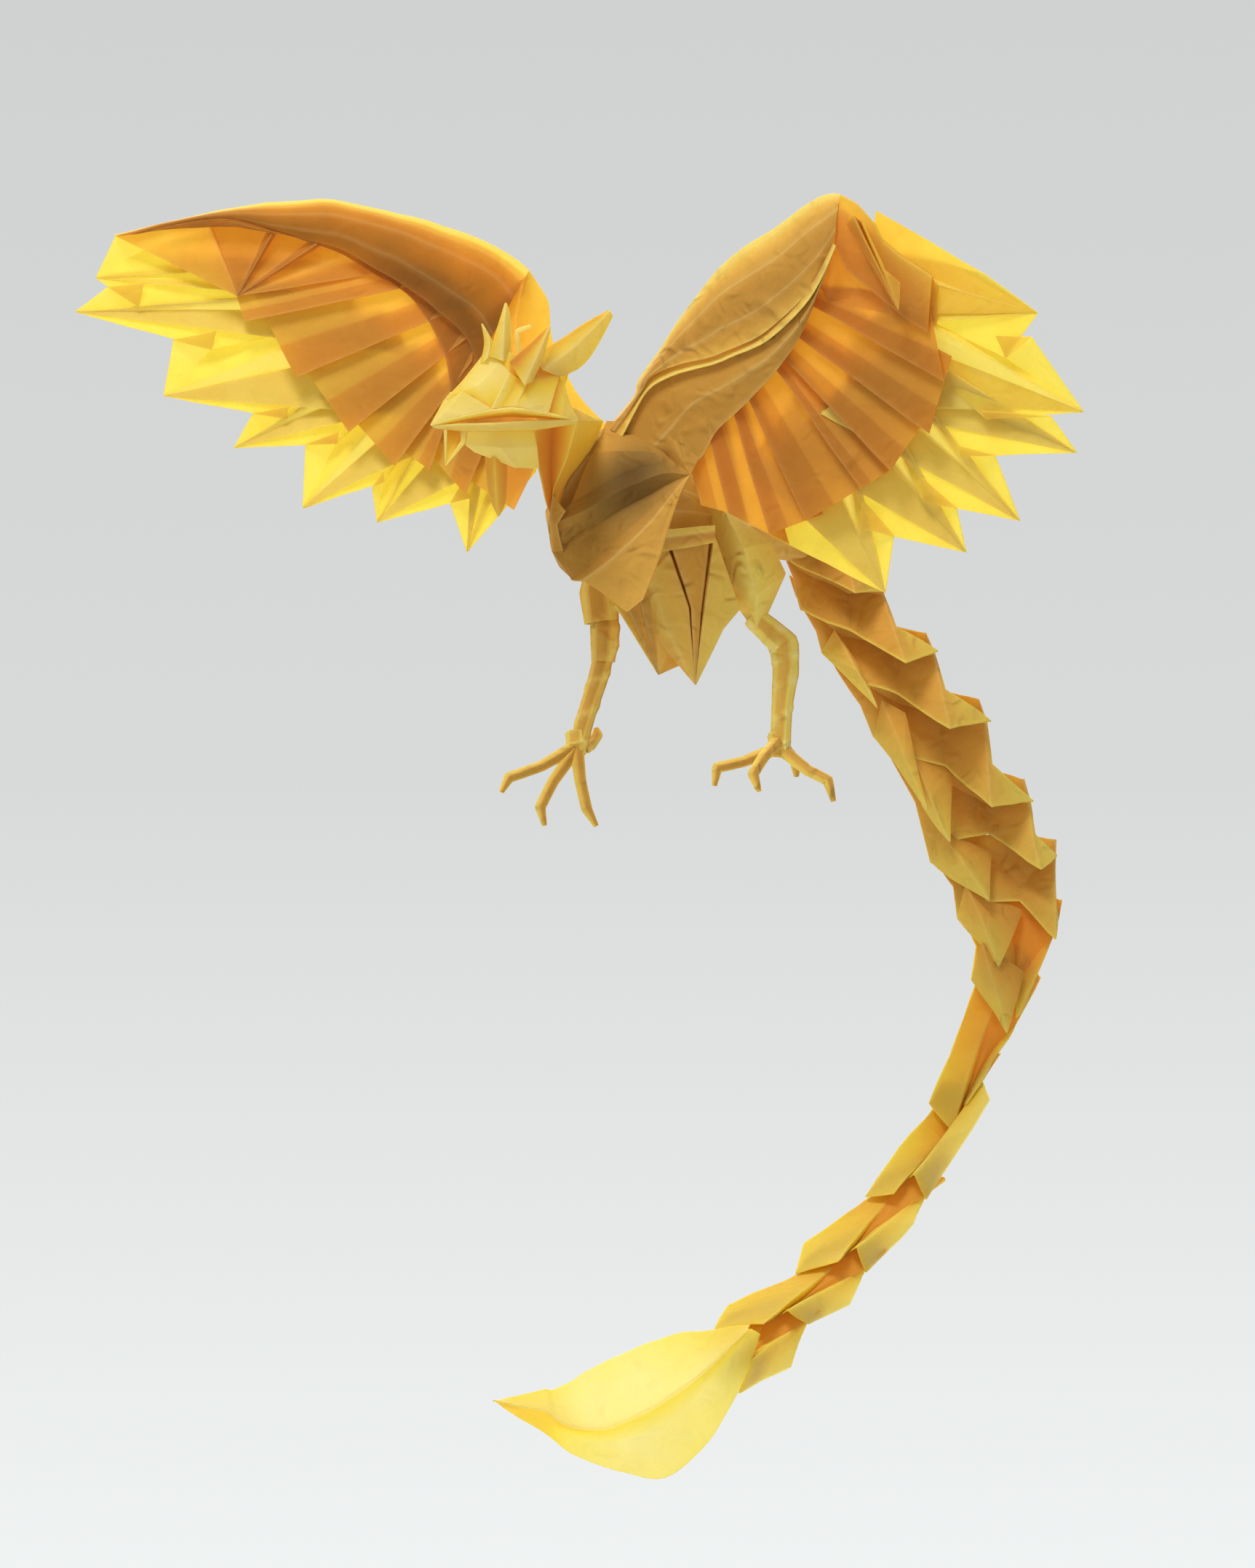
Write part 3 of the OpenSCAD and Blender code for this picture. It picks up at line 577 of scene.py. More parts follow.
# The left leading edge: the flap of the arm, turned over twice, with two pale fold lines along it, painted
# on as highlights.
# It is packed from many layers, full towards the viewer, and covers the roots of the coverts.
left_lead = [(0.0, 0.0), (6.2, 7.2), (8.7, 13.0), (26.0, 35.7), (38.7, 44.8), (49.5, 52.7), (53.9, 53.1)]
left_fold = [(2.0, -1.0), (7.4, 8.0), (11.5, 12.6), (25.5, 17.2), (36.0, 22.0), (46.0, 31.0), (52.0, 42.0)]
left_step = [(3.0, -3.0), (8.0, 7.0), (14.0, 11.5), (27.5, 16.0), (38.0, 21.2), (47.2, 30.5), (52.3, 41.5)]
left_low = [
    (15.0, -10.0), (21.4, -7.6), (25.5, -0.8), (33.8, 7.0), (40.3, 14.6), (45.5, 22.5), (51.0, 38.0),
]
arm_rows = [(0, 0.3, 0.9), (0.05, 2.0, 1.4), (0.3, 6.0, 2.8), (0.7, 7.6, 3.1), (1, 7.2, 1.6)]
left_between = (np.array(left_step) + left_low) / 2
arm_net = full_flap(left_wing, left_lead, left_fold, arm_rows, 0.9, 2.5)
# Painted light and shade: the step's fold line is painted pale, the same line set back below it dark.
step_net = laid(left_wing, ((left_fold, 5.6, 2.8), (left_step, 6.8, 1.0), (left_step, 5.0, 3.0),
                            (left_between, 6.4, 3.1), (left_low, 5.4, 3.0)))
paper_piece("left_wing_lead", [folded(arm_net, 6, 6, bend, bend), folded(step_net, 6, 6, bend)],
            packed_paper, 0.3)

# The breast: a wide flap whose few folds run out from one gathered point under the left wing.
# Several layers lie behind its middle, which is painted dark as shade; the free flap below is paler.
# Each fold is given by a middle point and an end: x, z, how far it stands forward, and its layers.
gather = np.array([19.6, -19.0, -11.0, 2.2])
breast_folds = [
    ((22.0, -6.0, 0.0, 2.6), (24.0, -2.0, 0.0, 2.2)),
    ((14.5, -2.5, 1.0, 2.4), (10.0, 2.0, 0.0, 1.7)),
    ((10.5, -3.6, 0.5, 2.6), (-0.4, 1.4, 0.0, 1.3)),
    ((9.0, -5.9, 2.6, 2.6), (-2.9, -6.2, 3.0, 1.2)),
    ((8.5, -9.0, 1.4, 3.0), (-7.0, -17.0, 1.4, 1.6)),
    ((10.0, -11.8, 2.8, 2.8), (-10.4, -21.6, 2.8, 2.2)),
    ((10.0, -15.4, 0.6, 3.0), (-11.8, -28.4, 0.6, 2.6)),
    ((8.0, -21.0, 1.6, 2.8), (-7.6, -34.8, 0.0, 2.0)),
    ((8.2, -23.8, 3.0, 2.2), (-5.0, -34.6, 2.2, 1.4)),
    ((12.2, -22.4, 2.6, 2.0), (4.8, -42.3, 1.6, 1.0)),
    ((14.4, -20.6, 1.8, 2.0), (8.6, -39.0, 1.0, 1.2)),
    ((16.0, -18.4, 2.2, 2.2), (12.8, -28.4, 1.4, 1.8)),
    ((17.0, -16.4, 1.0, 2.4), (13.4, -23.0, 0.0, 2.4)),
]
# Painted shade per facet, darkest on the middle facets.
BREAST_FACET_SHADE = [1.3, 1.4, 1.6, 2.0, 2.2, 2.0, 1.7, 1.4, 0.7, 0.6, 0.8, 1.0]
breast_depth = [-15.0, -9.0, -3.0, -9.0, -14.0, -15.5, -15.5, -18.5, -19.5, -20.0, -21.0, -21.0, -20.0]
WRINKLE_WAVES = ((0.5, 0.9, 0.0), (1.1, -0.3, 1.0), (0.2, 1.3, 2.0))
SHADE_MIDDLE = (4.0, -11.0)
SHADE_REACH = 10.0
EVEN_LAYERS = 2.5
EVEN_SHARE = 0.6


def fading(grid, middle, reach):
    """Share that is 1 at the middle x and z and fades with the square of the distance over the reach."""
    return np.exp(-((grid[..., 0] - middle[0]) ** 2 + (grid[..., 2] - middle[1]) ** 2) / reach**2)


def wrinkled(grid, middle, reach, height):
    """Short wrinkles: three crossing waves, sharpened to ridges, that fade with the distance in x and z."""
    x, z = grid[..., 0] - middle[0], grid[..., 2] - middle[1]
    ridges = sum(1 - np.abs(np.sin(a * x + b * z + c)) for a, b, c in WRINKLE_WAVES)
    raised = grid.copy()
    raised[..., 1] -= height * fading(grid, middle, reach) * ridges
    return raised


def drawn(lines):
    """Net from lines of corners that are written as the front shows them: x, z, depth y and layers."""
    return np.array(lines)[..., [0, 2, 1, 3]]


breast_net = []
for (mid, end), depth in zip(breast_folds, breast_depth):
    lines = [[x, depth * share + gather[1] * (1 - share) - out, z, layers]
             for (x, z, out, layers), share in ((mid, 0.5), (end, 1.0))]
    breast_net.append([gather, *lines])
breast_grid = folded(breast_net, 16, 7, path_along=bend, marked=[8], facet_shade=BREAST_FACET_SHADE)
# Painted shade: the facet shade keeps its full contrast round the dark middle and is evened out away from
# it.
middle_shade = fading(breast_grid, SHADE_MIDDLE, SHADE_REACH)
contrast = 1 - EVEN_SHARE * (1 - middle_shade)
breast_grid[..., 3] = EVEN_LAYERS + (breast_grid[..., 3] - EVEN_LAYERS) * contrast
breast_grid = wrinkled(breast_grid, (-6.0, -26.5), 6.0, 0.8)
corner_flap = [
    [(-11.2, -15.4, -18.0, 2.8), (-12.1, -21.0, -18.5, 3.0), (-11.8, -28.4, -19.5, 2.6)],
    [(-8.2, -18.8, -19.5, 2.4), (-10.2, -22.0, -19.5, 3.2), (-9.4, -28.0, -18.0, 2.6)],
]
paper_piece("breast_flap", [breast_grid, folded(drawn(corner_flap), 6, 6)], packed_paper, 0.3)

# The belly point: the ends of the inner layers, stacked like a closed fan and pressed to a tip.
# Two slits between the layers, painted dark as shade, run down to the tip; a second, shorter stack stands to
# its right,
# and a folded band runs across the top.
BELLY_DEPTH = 1.0
BELLY_TIP_DEPTH = 2.0
BAND_RIGHT_DEPTH, BAND_LEFT_DEPTH = -6.0, -3.0
belly_tip = (20.5, -59.0)
# Folds with 3.2 in the last column lie in the slits and are painted dark as shade.
belly_folds = [
    ((11.5, -48.0), (5.5, -41.0), 0.0, 2.0),
    ((14.2, -46.0), (9.8, -33.0), -2.6, 1.6),
    ((19.0, -41.4), (14.2, -27.0), -3.4, 1.8),
    ((19.4, -41.4), (14.8, -27.0), -0.8, 3.2),
    ((19.9, -41.4), (15.5, -27.0), -3.8, 2.2),
    ((21.8, -42.2), (23.8, -25.0), -2.6, 2.4),
    ((22.2, -42.3), (24.4, -25.0), -0.6, 3.2),
    ((22.7, -42.3), (25.2, -25.0), -3.6, 1.5),
    ((27.0, -46.0), (31.0, -41.5), -0.5, 1.3),
    ((25.0, -47.0), (27.0, -30.0), 4.0, 2.4),
]
belly_net = []
for mid, top, out, layers in belly_folds:
    belly_net.append([[belly_tip[0], BELLY_TIP_DEPTH + out * 0.2, belly_tip[1], layers],
                      [mid[0], BELLY_DEPTH + out * 0.8, mid[1], layers],
                      [top[0], BELLY_DEPTH + out, top[1], layers]])
side_tip = (12.2, -56.8)
side_folds = [
    (2.5, -41.0, -3.0, 1.5), (4.2, -40.0, -1.6, 1.4), (4.8, -40.0, -3.4, 3.0), (7.4, -38.0, -1.8, 1.5),
    (8.0, -38.0, -3.6, 3.0), (12.0, -36.0, -1.0, 1.6), (16.5, -44.0, 2.0, 1.8), (17.6, -54.2, 3.0, 2.0),
]
side_net = [[[side_tip[0], BELLY_TIP_DEPTH, side_tip[1], layers], [x, BELLY_DEPTH + out, z, layers]]
            for x, z, out, layers in side_folds]
band_edges = [
    (12.8, -23.4, 25.2, -22.4, 1.2), (12.7, -25.2, 25.2, -23.6, 0.9), (12.6, -25.8, 25.2, -24.2, 2.8),
    (12.5, -28.6, 25.2, -26.4, 1.2),
]
band_net = [[[x0, BAND_RIGHT_DEPTH, z0, layers], [x1, BAND_LEFT_DEPTH, z1, layers]]
            for x0, z0, x1, z1, layers in band_edges]
belly_grids = [folded(belly_net, 8, 6), folded(side_net, 12, 5), folded(band_net, 8, 4)]
paper_piece("belly_point", belly_grids, packed_paper, 0.12)

# The neck: a hollow pleat that rises from the breast and opens under the jaw.
# Its front is one or two layers; its hollow is three and painted darker as the shade inside it; a short
# collar joins its upper rim to the head.
neck_lines = [
    [(-1.0, 1.5, -4.0, 0.7), (-4.1, -5.6, -9.0, 1.1), (-10.8, -15.5, -14.5, 1.5),
     (-9.0, -22.0, -13.0, 1.7)],
    [(-6.5, 1.4, -31.0, 0.7), (-8.6, -7.0, -24.0, 1.1), (-11.6, -15.7, -17.0, 1.3),
     (-9.8, -23.0, -15.0, 1.7)],
    [(-11.5, 0.4, -26.0, 2.7), (-12.0, -8.0, -21.0, 2.7), (-11.4, -19.0, -14.0, 2.5),
     (-10.4, -26.0, -13.0, 2.3)],
    [(-16.2, -0.2, -32.0, 1.5), (-14.6, -11.5, -24.0, 1.7), (-12.0, -20.5, -14.0, 1.9),
     (-8.5, -26.5, -13.5, 2.1)],
    [(-14.0, 2.0, -18.0, 1.7), (-12.0, -9.0, -13.0, 1.9), (-9.0, -20.0, -9.0, 2.1),
     (-8.0, -26.0, -9.0, 2.1)],
]
neck_tops = [
    (-7.0, 4.0, -28.0), (-8.5, 4.5, -34.5), (-11.5, 3.5, -33.0), (-15.0, 3.5, -35.0),
    (-13.5, 5.5, -29.0),
]
collar = [[(*top, line[0][3]), line[0]] for top, line in zip(neck_tops, neck_lines)]
neck_net, collar_net = (drawn(lines + lines[:1]) for lines in (neck_lines, collar))
paper_piece("neck", [folded(neck_net, 10, 8, bend), folded(collar_net, 5, 8)], thin_paper, 0.2, closed=True)

# The head: two cheeks on one ridge, with the beak folded sharp and the brow turned out over the mouth.
# It is drawn as the near side shows it; the far cheek repeats it, a little flatter, beyond the ridge.
NAPE = np.array([-6.2, -30.2, 2.0])
BEAK_WAY = np.array([-0.877, -0.478, 0.0])
CHEEK_WAY = np.array([0.478, -0.877, 0.0])
FAR_CHEEK = 0.65


def on_head(x, z, out, layers):
    """Point on the near side of the head: on the ridge's plane at x, then out towards the viewer."""
    return [x, NAPE[1] + (x - NAPE[0]) * BEAK_WAY[1] / BEAK_WAY[0] - out, z, layers]


def far_side(net):
    """The same lines beyond the ridge's plane, at about two thirds of their distance from it."""
    net = np.array(net)
    off = (net[..., :3] - NAPE) @ CHEEK_WAY
    net[..., :3] -= (1 + FAR_CHEEK) * off[..., None] * CHEEK_WAY
    return net


# The last number of each corner is layers with painted shade and light: darker in the valleys of the folds,
# under the brow and under the crest, palest on the ridges.
beak = [
    [(-39.9, 0.7, 0.0, 0.2), (-38.0, 3.6, 0.4, 0.5), (-36.5, 6.1, 0.6, 0.6)],
    [(-39.7, 0.6, 0.3, 0.1), (-36.5, 3.6, 2.6, 0.1), (-32.3, 8.3, 4.0, 0.6)],
    [(-39.7, 0.6, 0.4, 0.1), (-33.0, 2.9, 5.0, 0.0), (-26.1, 4.4, 8.0, 0.1)],
]
forehead = [
    [(-36.5, 6.1, 0.0, 1.2), (-34.4, 7.4, 2.4, 1.6), (-32.3, 8.3, 3.4, 1.9)],
    [(-31.7, 11.0, 0.3, 0.3), (-28.9, 9.6, 4.8, 0.0), (-26.1, 4.5, 7.2, 1.4)],
    [(-26.4, 16.8, 1.6, 0.6), (-23.8, 14.6, 4.4, 0.1), (-21.9, 12.5, 6.2, 0.0)],
]
cheek = [
    [(-26.1, 4.4, 8.0, 0.0), (-21.9, 12.5, 6.4, 0.0)],
    [(-23.3, 4.9, 7.6, 1.1), (-19.8, 11.0, 6.0, 1.8)],
    [(-20.5, 5.0, 8.4, 0.1), (-18.0, 9.6, 7.0, 0.6)],
]
back_cheek = [
    [(-18.0, 9.6, 6.4, 2.2), (-15.6, 12.2, 6.0, 1.8), (-10.6, 11.4, 4.6, 1.2)],
    [(-20.5, 5.0, 8.4, 0.5), (-17.5, 4.2, 8.8, 0.0), (-12.9, 3.4, 8.6, 0.2)],
]
nape = [
    [(-10.6, 11.4, 4.2, 2.0), (-12.9, 3.4, 7.8, 2.0)],
    [(-9.4, 9.2, 4.4, 0.7), (-9.6, 2.6, 7.4, 0.5)],
    [(-8.0, 4.6, 5.4, 0.6), (-6.2, 1.6, 6.4, 0.3)],
]
crown = [
    [(-21.7, 16.9, 4.6, 0.3), (-15.6, 14.3, 5.0, 2.4), (-7.9, 13.1, 2.4, 1.8)],
    [(-21.9, 12.5, 6.2, 1.8), (-17.0, 10.9, 6.4, 2.4), (-10.6, 11.4, 4.4, 1.8)],
]
brow_edge = [
    [(-39.9, 0.7, 0.3, 0.1), (-33.0, 2.7, 5.2, 0.1), (-26.1, 4.2, 8.3, 0.0), (-21.6, 4.6, 8.7, 0.0),
     (-17.5, 4.0, 9.0, 0.0), (-12.9, 3.3, 8.8, 0.1), (-6.2, 1.6, 6.5, 0.3)],
    [(-39.8, 0.6, 0.2, 0.9), (-33.0, 2.1, 4.6, 1.2), (-26.1, 3.5, 7.6, 1.2), (-21.6, 3.9, 8.0, 1.2),
     (-17.5, 3.3, 8.3, 1.2), (-12.9, 2.7, 8.0, 1.2), (-6.3, 1.5, 6.2, 1.0)],
    [(-39.6, 0.5, 0.1, 1.4), (-33.0, 1.5, 3.0, 2.4), (-26.1, 2.4, 4.6, 2.6), (-21.6, 2.6, 5.0, 2.6),
     (-17.5, 2.4, 5.2, 2.6), (-12.9, 2.1, 5.2, 2.4), (-6.5, 1.4, 5.2, 1.6)],
]
lower_lip = [
    [(-39.5, 0.45, 0.1, 1.2), (-33.0, 1.0, 3.2, 2.2), (-25.8, 1.1, 4.8, 2.4), (-16.8, 1.5, 5.0, 2.2),
     (-6.6, 1.4, 5.4, 1.4)],
    [(-39.5, 0.4, 0.3, 0.1), (-33.0, 0.9, 5.0, 0.1), (-25.8, 1.0, 7.8, 0.0), (-16.8, 1.4, 8.2, 0.1),
     (-6.4, 1.6, 6.8, 0.2)],
    [(-38.9, 0.1, 0.2, 0.4), (-33.0, -0.4, 4.2, 0.5), (-25.8, -0.6, 7.0, 0.5), (-16.8, -0.4, 7.4, 0.6),
     (-6.6, 1.0, 6.4, 0.6)],
    [(-38.6, 0.0, 0.0, 1.6), (-33.0, -0.6, 2.0, 1.9), (-25.8, -0.8, 3.8, 2.0), (-16.8, -0.6, 4.2, 2.0),
     (-7.0, 0.7, 4.4, 1.8)],
]
temple = [
    [(-26.4, 16.8, 1.4, 1.0), (-21.7, 16.9, 4.4, 1.0)],
    [(-22.3, 12.9, 5.8, 1.2), (-21.8, 12.7, 6.0, 1.2)],
]
ridge = [
    (-39.9, 0.7, 0.0, 0.5), (-38.0, 3.6, 0.4, 0.6), (-36.5, 6.1, 0.6, 0.6), (-31.7, 11.0, 0.5, 0.6),
    (-26.4, 16.8, 1.6, 0.8), (-21.7, 16.9, 4.6, 0.8), (-15.6, 14.3, 5.0, 1.0), (-8.4, 13.0, 2.6, 1.0),
    (-9.4, 9.2, 4.4, 0.8), (-8.0, 4.6, 5.4, 0.8), (-6.4, 1.7, 6.3, 0.8),
]
near_sheets = []
for facet in (beak, forehead, cheek, back_cheek, nape, crown, brow_edge, lower_lip, temple):
    near_sheets.append(np.array([[on_head(*corner) for corner in line] for line in facet]))
head_grids = [folded(net, 6, 6) for net in near_sheets]
head_grids += [folded(far_side(net), 5, 5) for net in near_sheets[:6]]
near_ridge = np.array([on_head(*corner) for corner in ridge])
head_grids.append(folded([near_ridge, far_side(near_ridge)], 6, 5))
paper_piece("head", head_grids, thin_paper, 0.1)

# The jaw: a pale inner panel, one layer thick, and the pointed lower beak with its rims turned in.
# The tongue is a narrow closed spike, which hangs at the throat.
jaw_panel = [
    [(-31.4, -0.8, -44.0, 0.3), (-24.0, -0.7, -42.0, 0.5), (-16.6, -0.5, -38.0, 0.8)],
    [(-32.0, -3.7, -45.0, 0.2), (-24.0, -4.6, -44.5, 0.1), (-15.7, -4.4, -38.0, 0.3)],
    [(-30.0, -5.4, -44.0, 0.3), (-20.4, -9.1, -40.5, 0.3), (-15.2, -9.3, -34.0, 0.6)],
]
lower_beak_tip = (-36.6, -8.7, -48.0)
LOWER_BEAK_LAYERS = 0.8
beak_rim = [
    (-36.9, -0.4, -48.6, 0.3), (-36.3, -0.4, -48.8, 0.3), (-36.2, -0.4, -46.6, 2.4),
    (-33.0, -0.6, -46.2, 2.2), (-33.0, -3.0, -46.6, 2.0), (-32.9, -3.0, -48.6, 0.3),
    (-32.2, -3.5, -48.4, 0.3),
]
beak_net = [[(*lower_beak_tip, min(corner[3], LOWER_BEAK_LAYERS)), corner] for corner in beak_rim]
side_rim = [
    [(-33.0, -0.6, -48.0, 0.3), (-32.9, -3.1, -48.6, 0.3)],
    [(-31.6, -0.7, -47.0, 0.3), (-32.2, -3.5, -48.4, 0.3)],
]
tongue = [
    [(-27.3, -6.6, -41.0, 1.9), (-27.0, -11.0, -40.5, 1.6), (-26.2, -16.5, -39.6, 1.4),
     (-24.6, -20.3, -39.0, 1.2)],
    [(-25.4, -6.6, -43.5, 1.5), (-25.2, -11.0, -43.0, 1.3), (-24.9, -16.5, -41.4, 1.2),
     (-24.5, -20.3, -39.0, 1.2)],
    [(-22.5, -8.6, -40.0, 2.2), (-22.6, -12.0, -40.0, 2.0), (-23.0, -17.0, -39.4, 1.8),
     (-24.4, -20.2, -39.0, 1.2)],
    [(-25.2, -7.0, -38.5, 2.0), (-25.0, -11.0, -38.6, 2.0), (-24.8, -16.5, -38.8, 1.8),
     (-24.5, -20.2, -38.8, 1.4)],
]
jaw_grids = [folded(drawn(jaw_panel), 6, 6), folded(drawn(beak_net), 8, 5), folded(drawn(side_rim), 4, 3)]
paper_piece("jaw", jaw_grids, thin_paper, 0.12)
paper_piece("throat_spike", [folded(drawn(tongue + tongue[:1]), 5, 5, bend)], thin_paper, 0.1, closed=True)

# The crest: four folded plumes on the crown, each a narrow point with a keel, and one thin curl.
# They are corners of the same layers, so their roots go down into the head.
# Each plume gives how far it stands out, the layers of its edges with painted shade, the upper edge darker,
# and its upper edge, keel and lower edge.
plumes = [
    (1.0, 1.4, 0.6, [[(-28.4, 14.4), (-27.4, 19.3), (-28.1, 23.8)],
                     [(-27.0, 15.8), (-26.3, 19.6), (-28.0, 23.7)],
                     [(-26.0, 16.6), (-25.6, 19.3), (-27.9, 23.6)]]),
    (3.0, 1.3, 0.4, [[(-26.4, 16.4), (-25.2, 20.6), (-23.9, 24.9), (-22.9, 28.3)],
                     [(-23.4, 15.2), (-23.2, 20.8), (-23.0, 25.4), (-22.8, 28.4)],
                     [(-21.6, 15.6), (-21.6, 20.4), (-21.9, 25.6), (-22.6, 28.3)]]),
    (7.0, 2.3, 0.7, [[(-21.8, 14.8), (-17.4, 18.7), (-14.6, 21.4), (-12.9, 23.0)],
                     [(-18.6, 9.7), (-15.9, 15.5), (-14.2, 19.6), (-12.8, 23.1)],
                     [(-16.8, 10.4), (-14.3, 16.0), (-13.2, 20.2), (-12.7, 23.0)]]),
    (4.2, 1.6, 0.6, [[(-16.4, 16.0), (-9.1, 20.8), (-5.0, 23.6), (0.5, 26.8)],
                     [(-14.2, 13.0), (-9.0, 16.7), (-4.6, 20.6), (0.9, 26.7)],
                     [(-10.6, 11.4), (-5.9, 13.6), (-2.6, 17.6), (1.5, 25.6)]]),
]
PLUME_TIP = 0.15
KEEL_FRONT, KEEL_BACK = 2.2, -1.2
plume_grids = []
# Painted light and shade: the front of the keel is palest, its back darker.
for out, upper_tone, lower_tone, (upper, keel, lower) in plumes:
    thin = np.linspace(1, PLUME_TIP, len(upper))
    ring = [(upper, 0.0, upper_tone), (keel, KEEL_FRONT, 0.0),
            (lower, 0.0, lower_tone), (keel, KEEL_BACK, 1.2)]
    net = [[on_head(*p, out + proud * t, tone) for p, t in zip(edge, thin)]
           for edge, proud, tone in ring + ring[:1]]
    plume_grids.append(folded(net, 5, 5, bend, marked=[1]))
curl_upper = [(-20.0, 16.6), (-20.5, 21.4), (-19.9, 22.5), (-17.2, 23.4)]
curl_lower = [(-19.3, 16.8), (-19.8, 21.2), (-19.4, 21.8), (-17.2, 22.8)]
curl_ring = [(curl_upper, 4.0), (curl_lower, 4.6), (curl_lower, 4.0), (curl_upper, 4.0)]
curl_net = [[on_head(*p, out, 0.2) for p in edge] for edge, out in curl_ring]
plume_grids.append(folded(curl_net, 5, 3, bend))
paper_piece("crest", plume_grids, thin_paper, 0.08, closed=True)

# The legs: layers rolled tight into shins and toes, wrapped at the ankle, three toes forward and one back.
# The left thigh is a broad folded panel with a crease down its front; the right one is a short cuff.
ROLL_FLATNESS = 0.8
SIDE_PARTS = 3
WRAP_RISE = 0.16
WRAP_EDGE = 6


def rolled(path, widths, layers, sides=6, wraps=3.0, along=8):
    """Rolled strip: a flattened ring of straight sides carried along a bent path, with wraps that wind
    round it as a sharpened sine; its sides get painted shade, stepped side by side and darker on one flank,
    and the wraps' edges get a painted pale highlight."""
    u = near_folds(len(path) - 1, along)
    line = straight(np.array(path, float), u)
    width = straight(np.array(widths, float)[:, None], u)[:, 0]
    way = np.gradient(line, axis=0)
    way /= np.linalg.norm(way, axis=1, keepdims=True)
    side = np.cross(way, [0.0, -1.0, 0.25])
    side /= np.linalg.norm(side, axis=1, keepdims=True)
    front = np.cross(side, way) * ROLL_FLATNESS
    one_side = 2 * np.pi / sides
    turn = np.linspace(0, 2 * np.pi, sides * SIDE_PARTS + 1)
    flat = np.cos(one_side / 2) / np.cos(turn % one_side - one_side / 2)
    wind = 2 * np.pi * wraps * u[:, None] + turn
    ridge = np.maximum(0, np.sin(wind)) ** WRAP_EDGE * bool(wraps)
    out = (width / 2)[:, None] * flat * (1 + WRAP_RISE * ridge)
    round_path = side[:, None] * np.cos(turn)[:, None] + front[:, None] * np.sin(turn)[:, None]
    ring = line[:, None] + out[..., None] * round_path
    # Painted shade and highlight: one flank darker, the sides stepped in tone, the wraps' edges lighter and
    # marked for the pale fold highlight.
    side_shade = 0.8 * np.sin(2.4 * np.floor(turn / one_side + 0.01))
    tone = layers - 0.6 * np.cos(turn + 0.6) + side_shade - 0.8 * ridge
    return np.concatenate([ring, tone[..., None], ridge[..., None] * 0.5], axis=-1)


thigh = [
    (1.4, [(19.0, -1.0, -12.0), (22.7, -8.0, -16.0), (26.0, -9.0, -29.0), (29.4, -10.0, -39.8),
           (34.2, -11.0, -46.3)]),
    (0.9, [(21.0, -4.0, -12.0), (25.6, -13.0, -16.4), (31.8, -17.0, -27.8), (34.6, -16.0, -38.4),
           (34.6, -13.0, -46.2)]),
    (1.7, [(22.5, -2.0, -14.0), (27.4, -9.0, -18.4), (37.8, -11.0, -26.4), (41.2, -11.0, -33.6),
           (36.2, -11.0, -45.0)]),
    (2.2, [(21.5, 3.0, -13.0), (26.0, -4.0, -17.0), (32.0, -5.0, -28.0), (35.0, -6.0, -38.0),
           (35.0, -9.0, -46.0)]),
]
thigh_net = [[(*corner, layers) for corner in line] for layers, line in thigh + thigh[:1]]
left_shin = [
    (33.6, -11.0, -43.0), (41.0, -10.5, -49.5), (41.4, -11.0, -55.0), (40.4, -12.0, -64.0),
    (40.0, -12.5, -74.0),
]
right_cuff = [(2.5, -8.7, -27.0), (-0.8, -6.0, -32.0), (-1.4, -7.0, -38.0), (-0.6, -8.0, -44.8)]
right_knee = [(-0.4, -8.0, -42.0), (0.2, -8.5, -46.0), (-0.3, -9.0, -53.8)]
right_shin = [(0.2, -8.5, -51.0), (-1.6, -10.0, -58.0), (-4.2, -12.0, -65.5), (-6.3, -13.0, -73.0)]
left_leg = [folded(thigh_net, 6, 8, marked=[1]),
            rolled(left_shin, [5.0, 6.6, 5.6, 4.4, 4.2], 1.2, wraps=5.0)]
left_toes = [
    [(39.5, -13.0, -73.5), (32.0, -17.0, -76.6), (25.8, -21.0, -78.0), (25.2, -21.5, -82.2)],
    [(39.4, -14.0, -72.0), (36.4, -20.0, -75.6), (34.0, -23.0, -79.6), (35.4, -23.5, -83.6)],
    [(40.6, -13.0, -74.0), (46.4, -16.0, -78.8), (51.0, -18.0, -81.0), (52.4, -18.5, -85.8)],
    [(41.0, -10.0, -73.0), (42.5, -5.0, -75.0), (43.5, -1.0, -77.0), (43.6, -0.5, -80.0)],
]
right_leg = [rolled(right_cuff, [6.0, 7.0, 8.6, 7.6], 1.8, wraps=1.0),
             rolled(right_knee, [5.0, 6.6, 5.0], 1.9, wraps=1.0),
             rolled(right_shin, [4.4, 4.2, 3.9, 3.8], 1.9, wraps=3.0)]
right_toes = [
    [(-6.8, -13.5, -73.0), (-14.6, -18.0, -77.4), (-22.0, -23.0, -80.2), (-23.8, -24.0, -83.6)],
    [(-7.0, -14.0, -74.0), (-11.8, -19.0, -81.0), (-14.8, -22.0, -87.0), (-13.8, -22.4, -91.2)],
    [(-6.4, -14.0, -74.0), (-5.6, -19.0, -81.0), (-4.2, -22.0, -87.4), (-2.0, -22.6, -91.4)],
    [(-5.0, -12.0, -73.5), (-3.4, -7.0, -72.8), (-1.8, -4.0, -70.4), (-2.0, -3.6, -68.8)],
]
TOE_WIDTHS = [2.9, 2.4, 2.3, 0.9]
ANKLE_WIDTHS = [4.4, 4.8, 3.4]
ankle_path = np.array([(0.2, 1.0, 3.6), (0.3, 0.5, 0.6), (0.3, 0.2, -2.0)])
LEFT_LEG_DEPTH = 15.5
RIGHT_LEG_DEPTH = 22.5
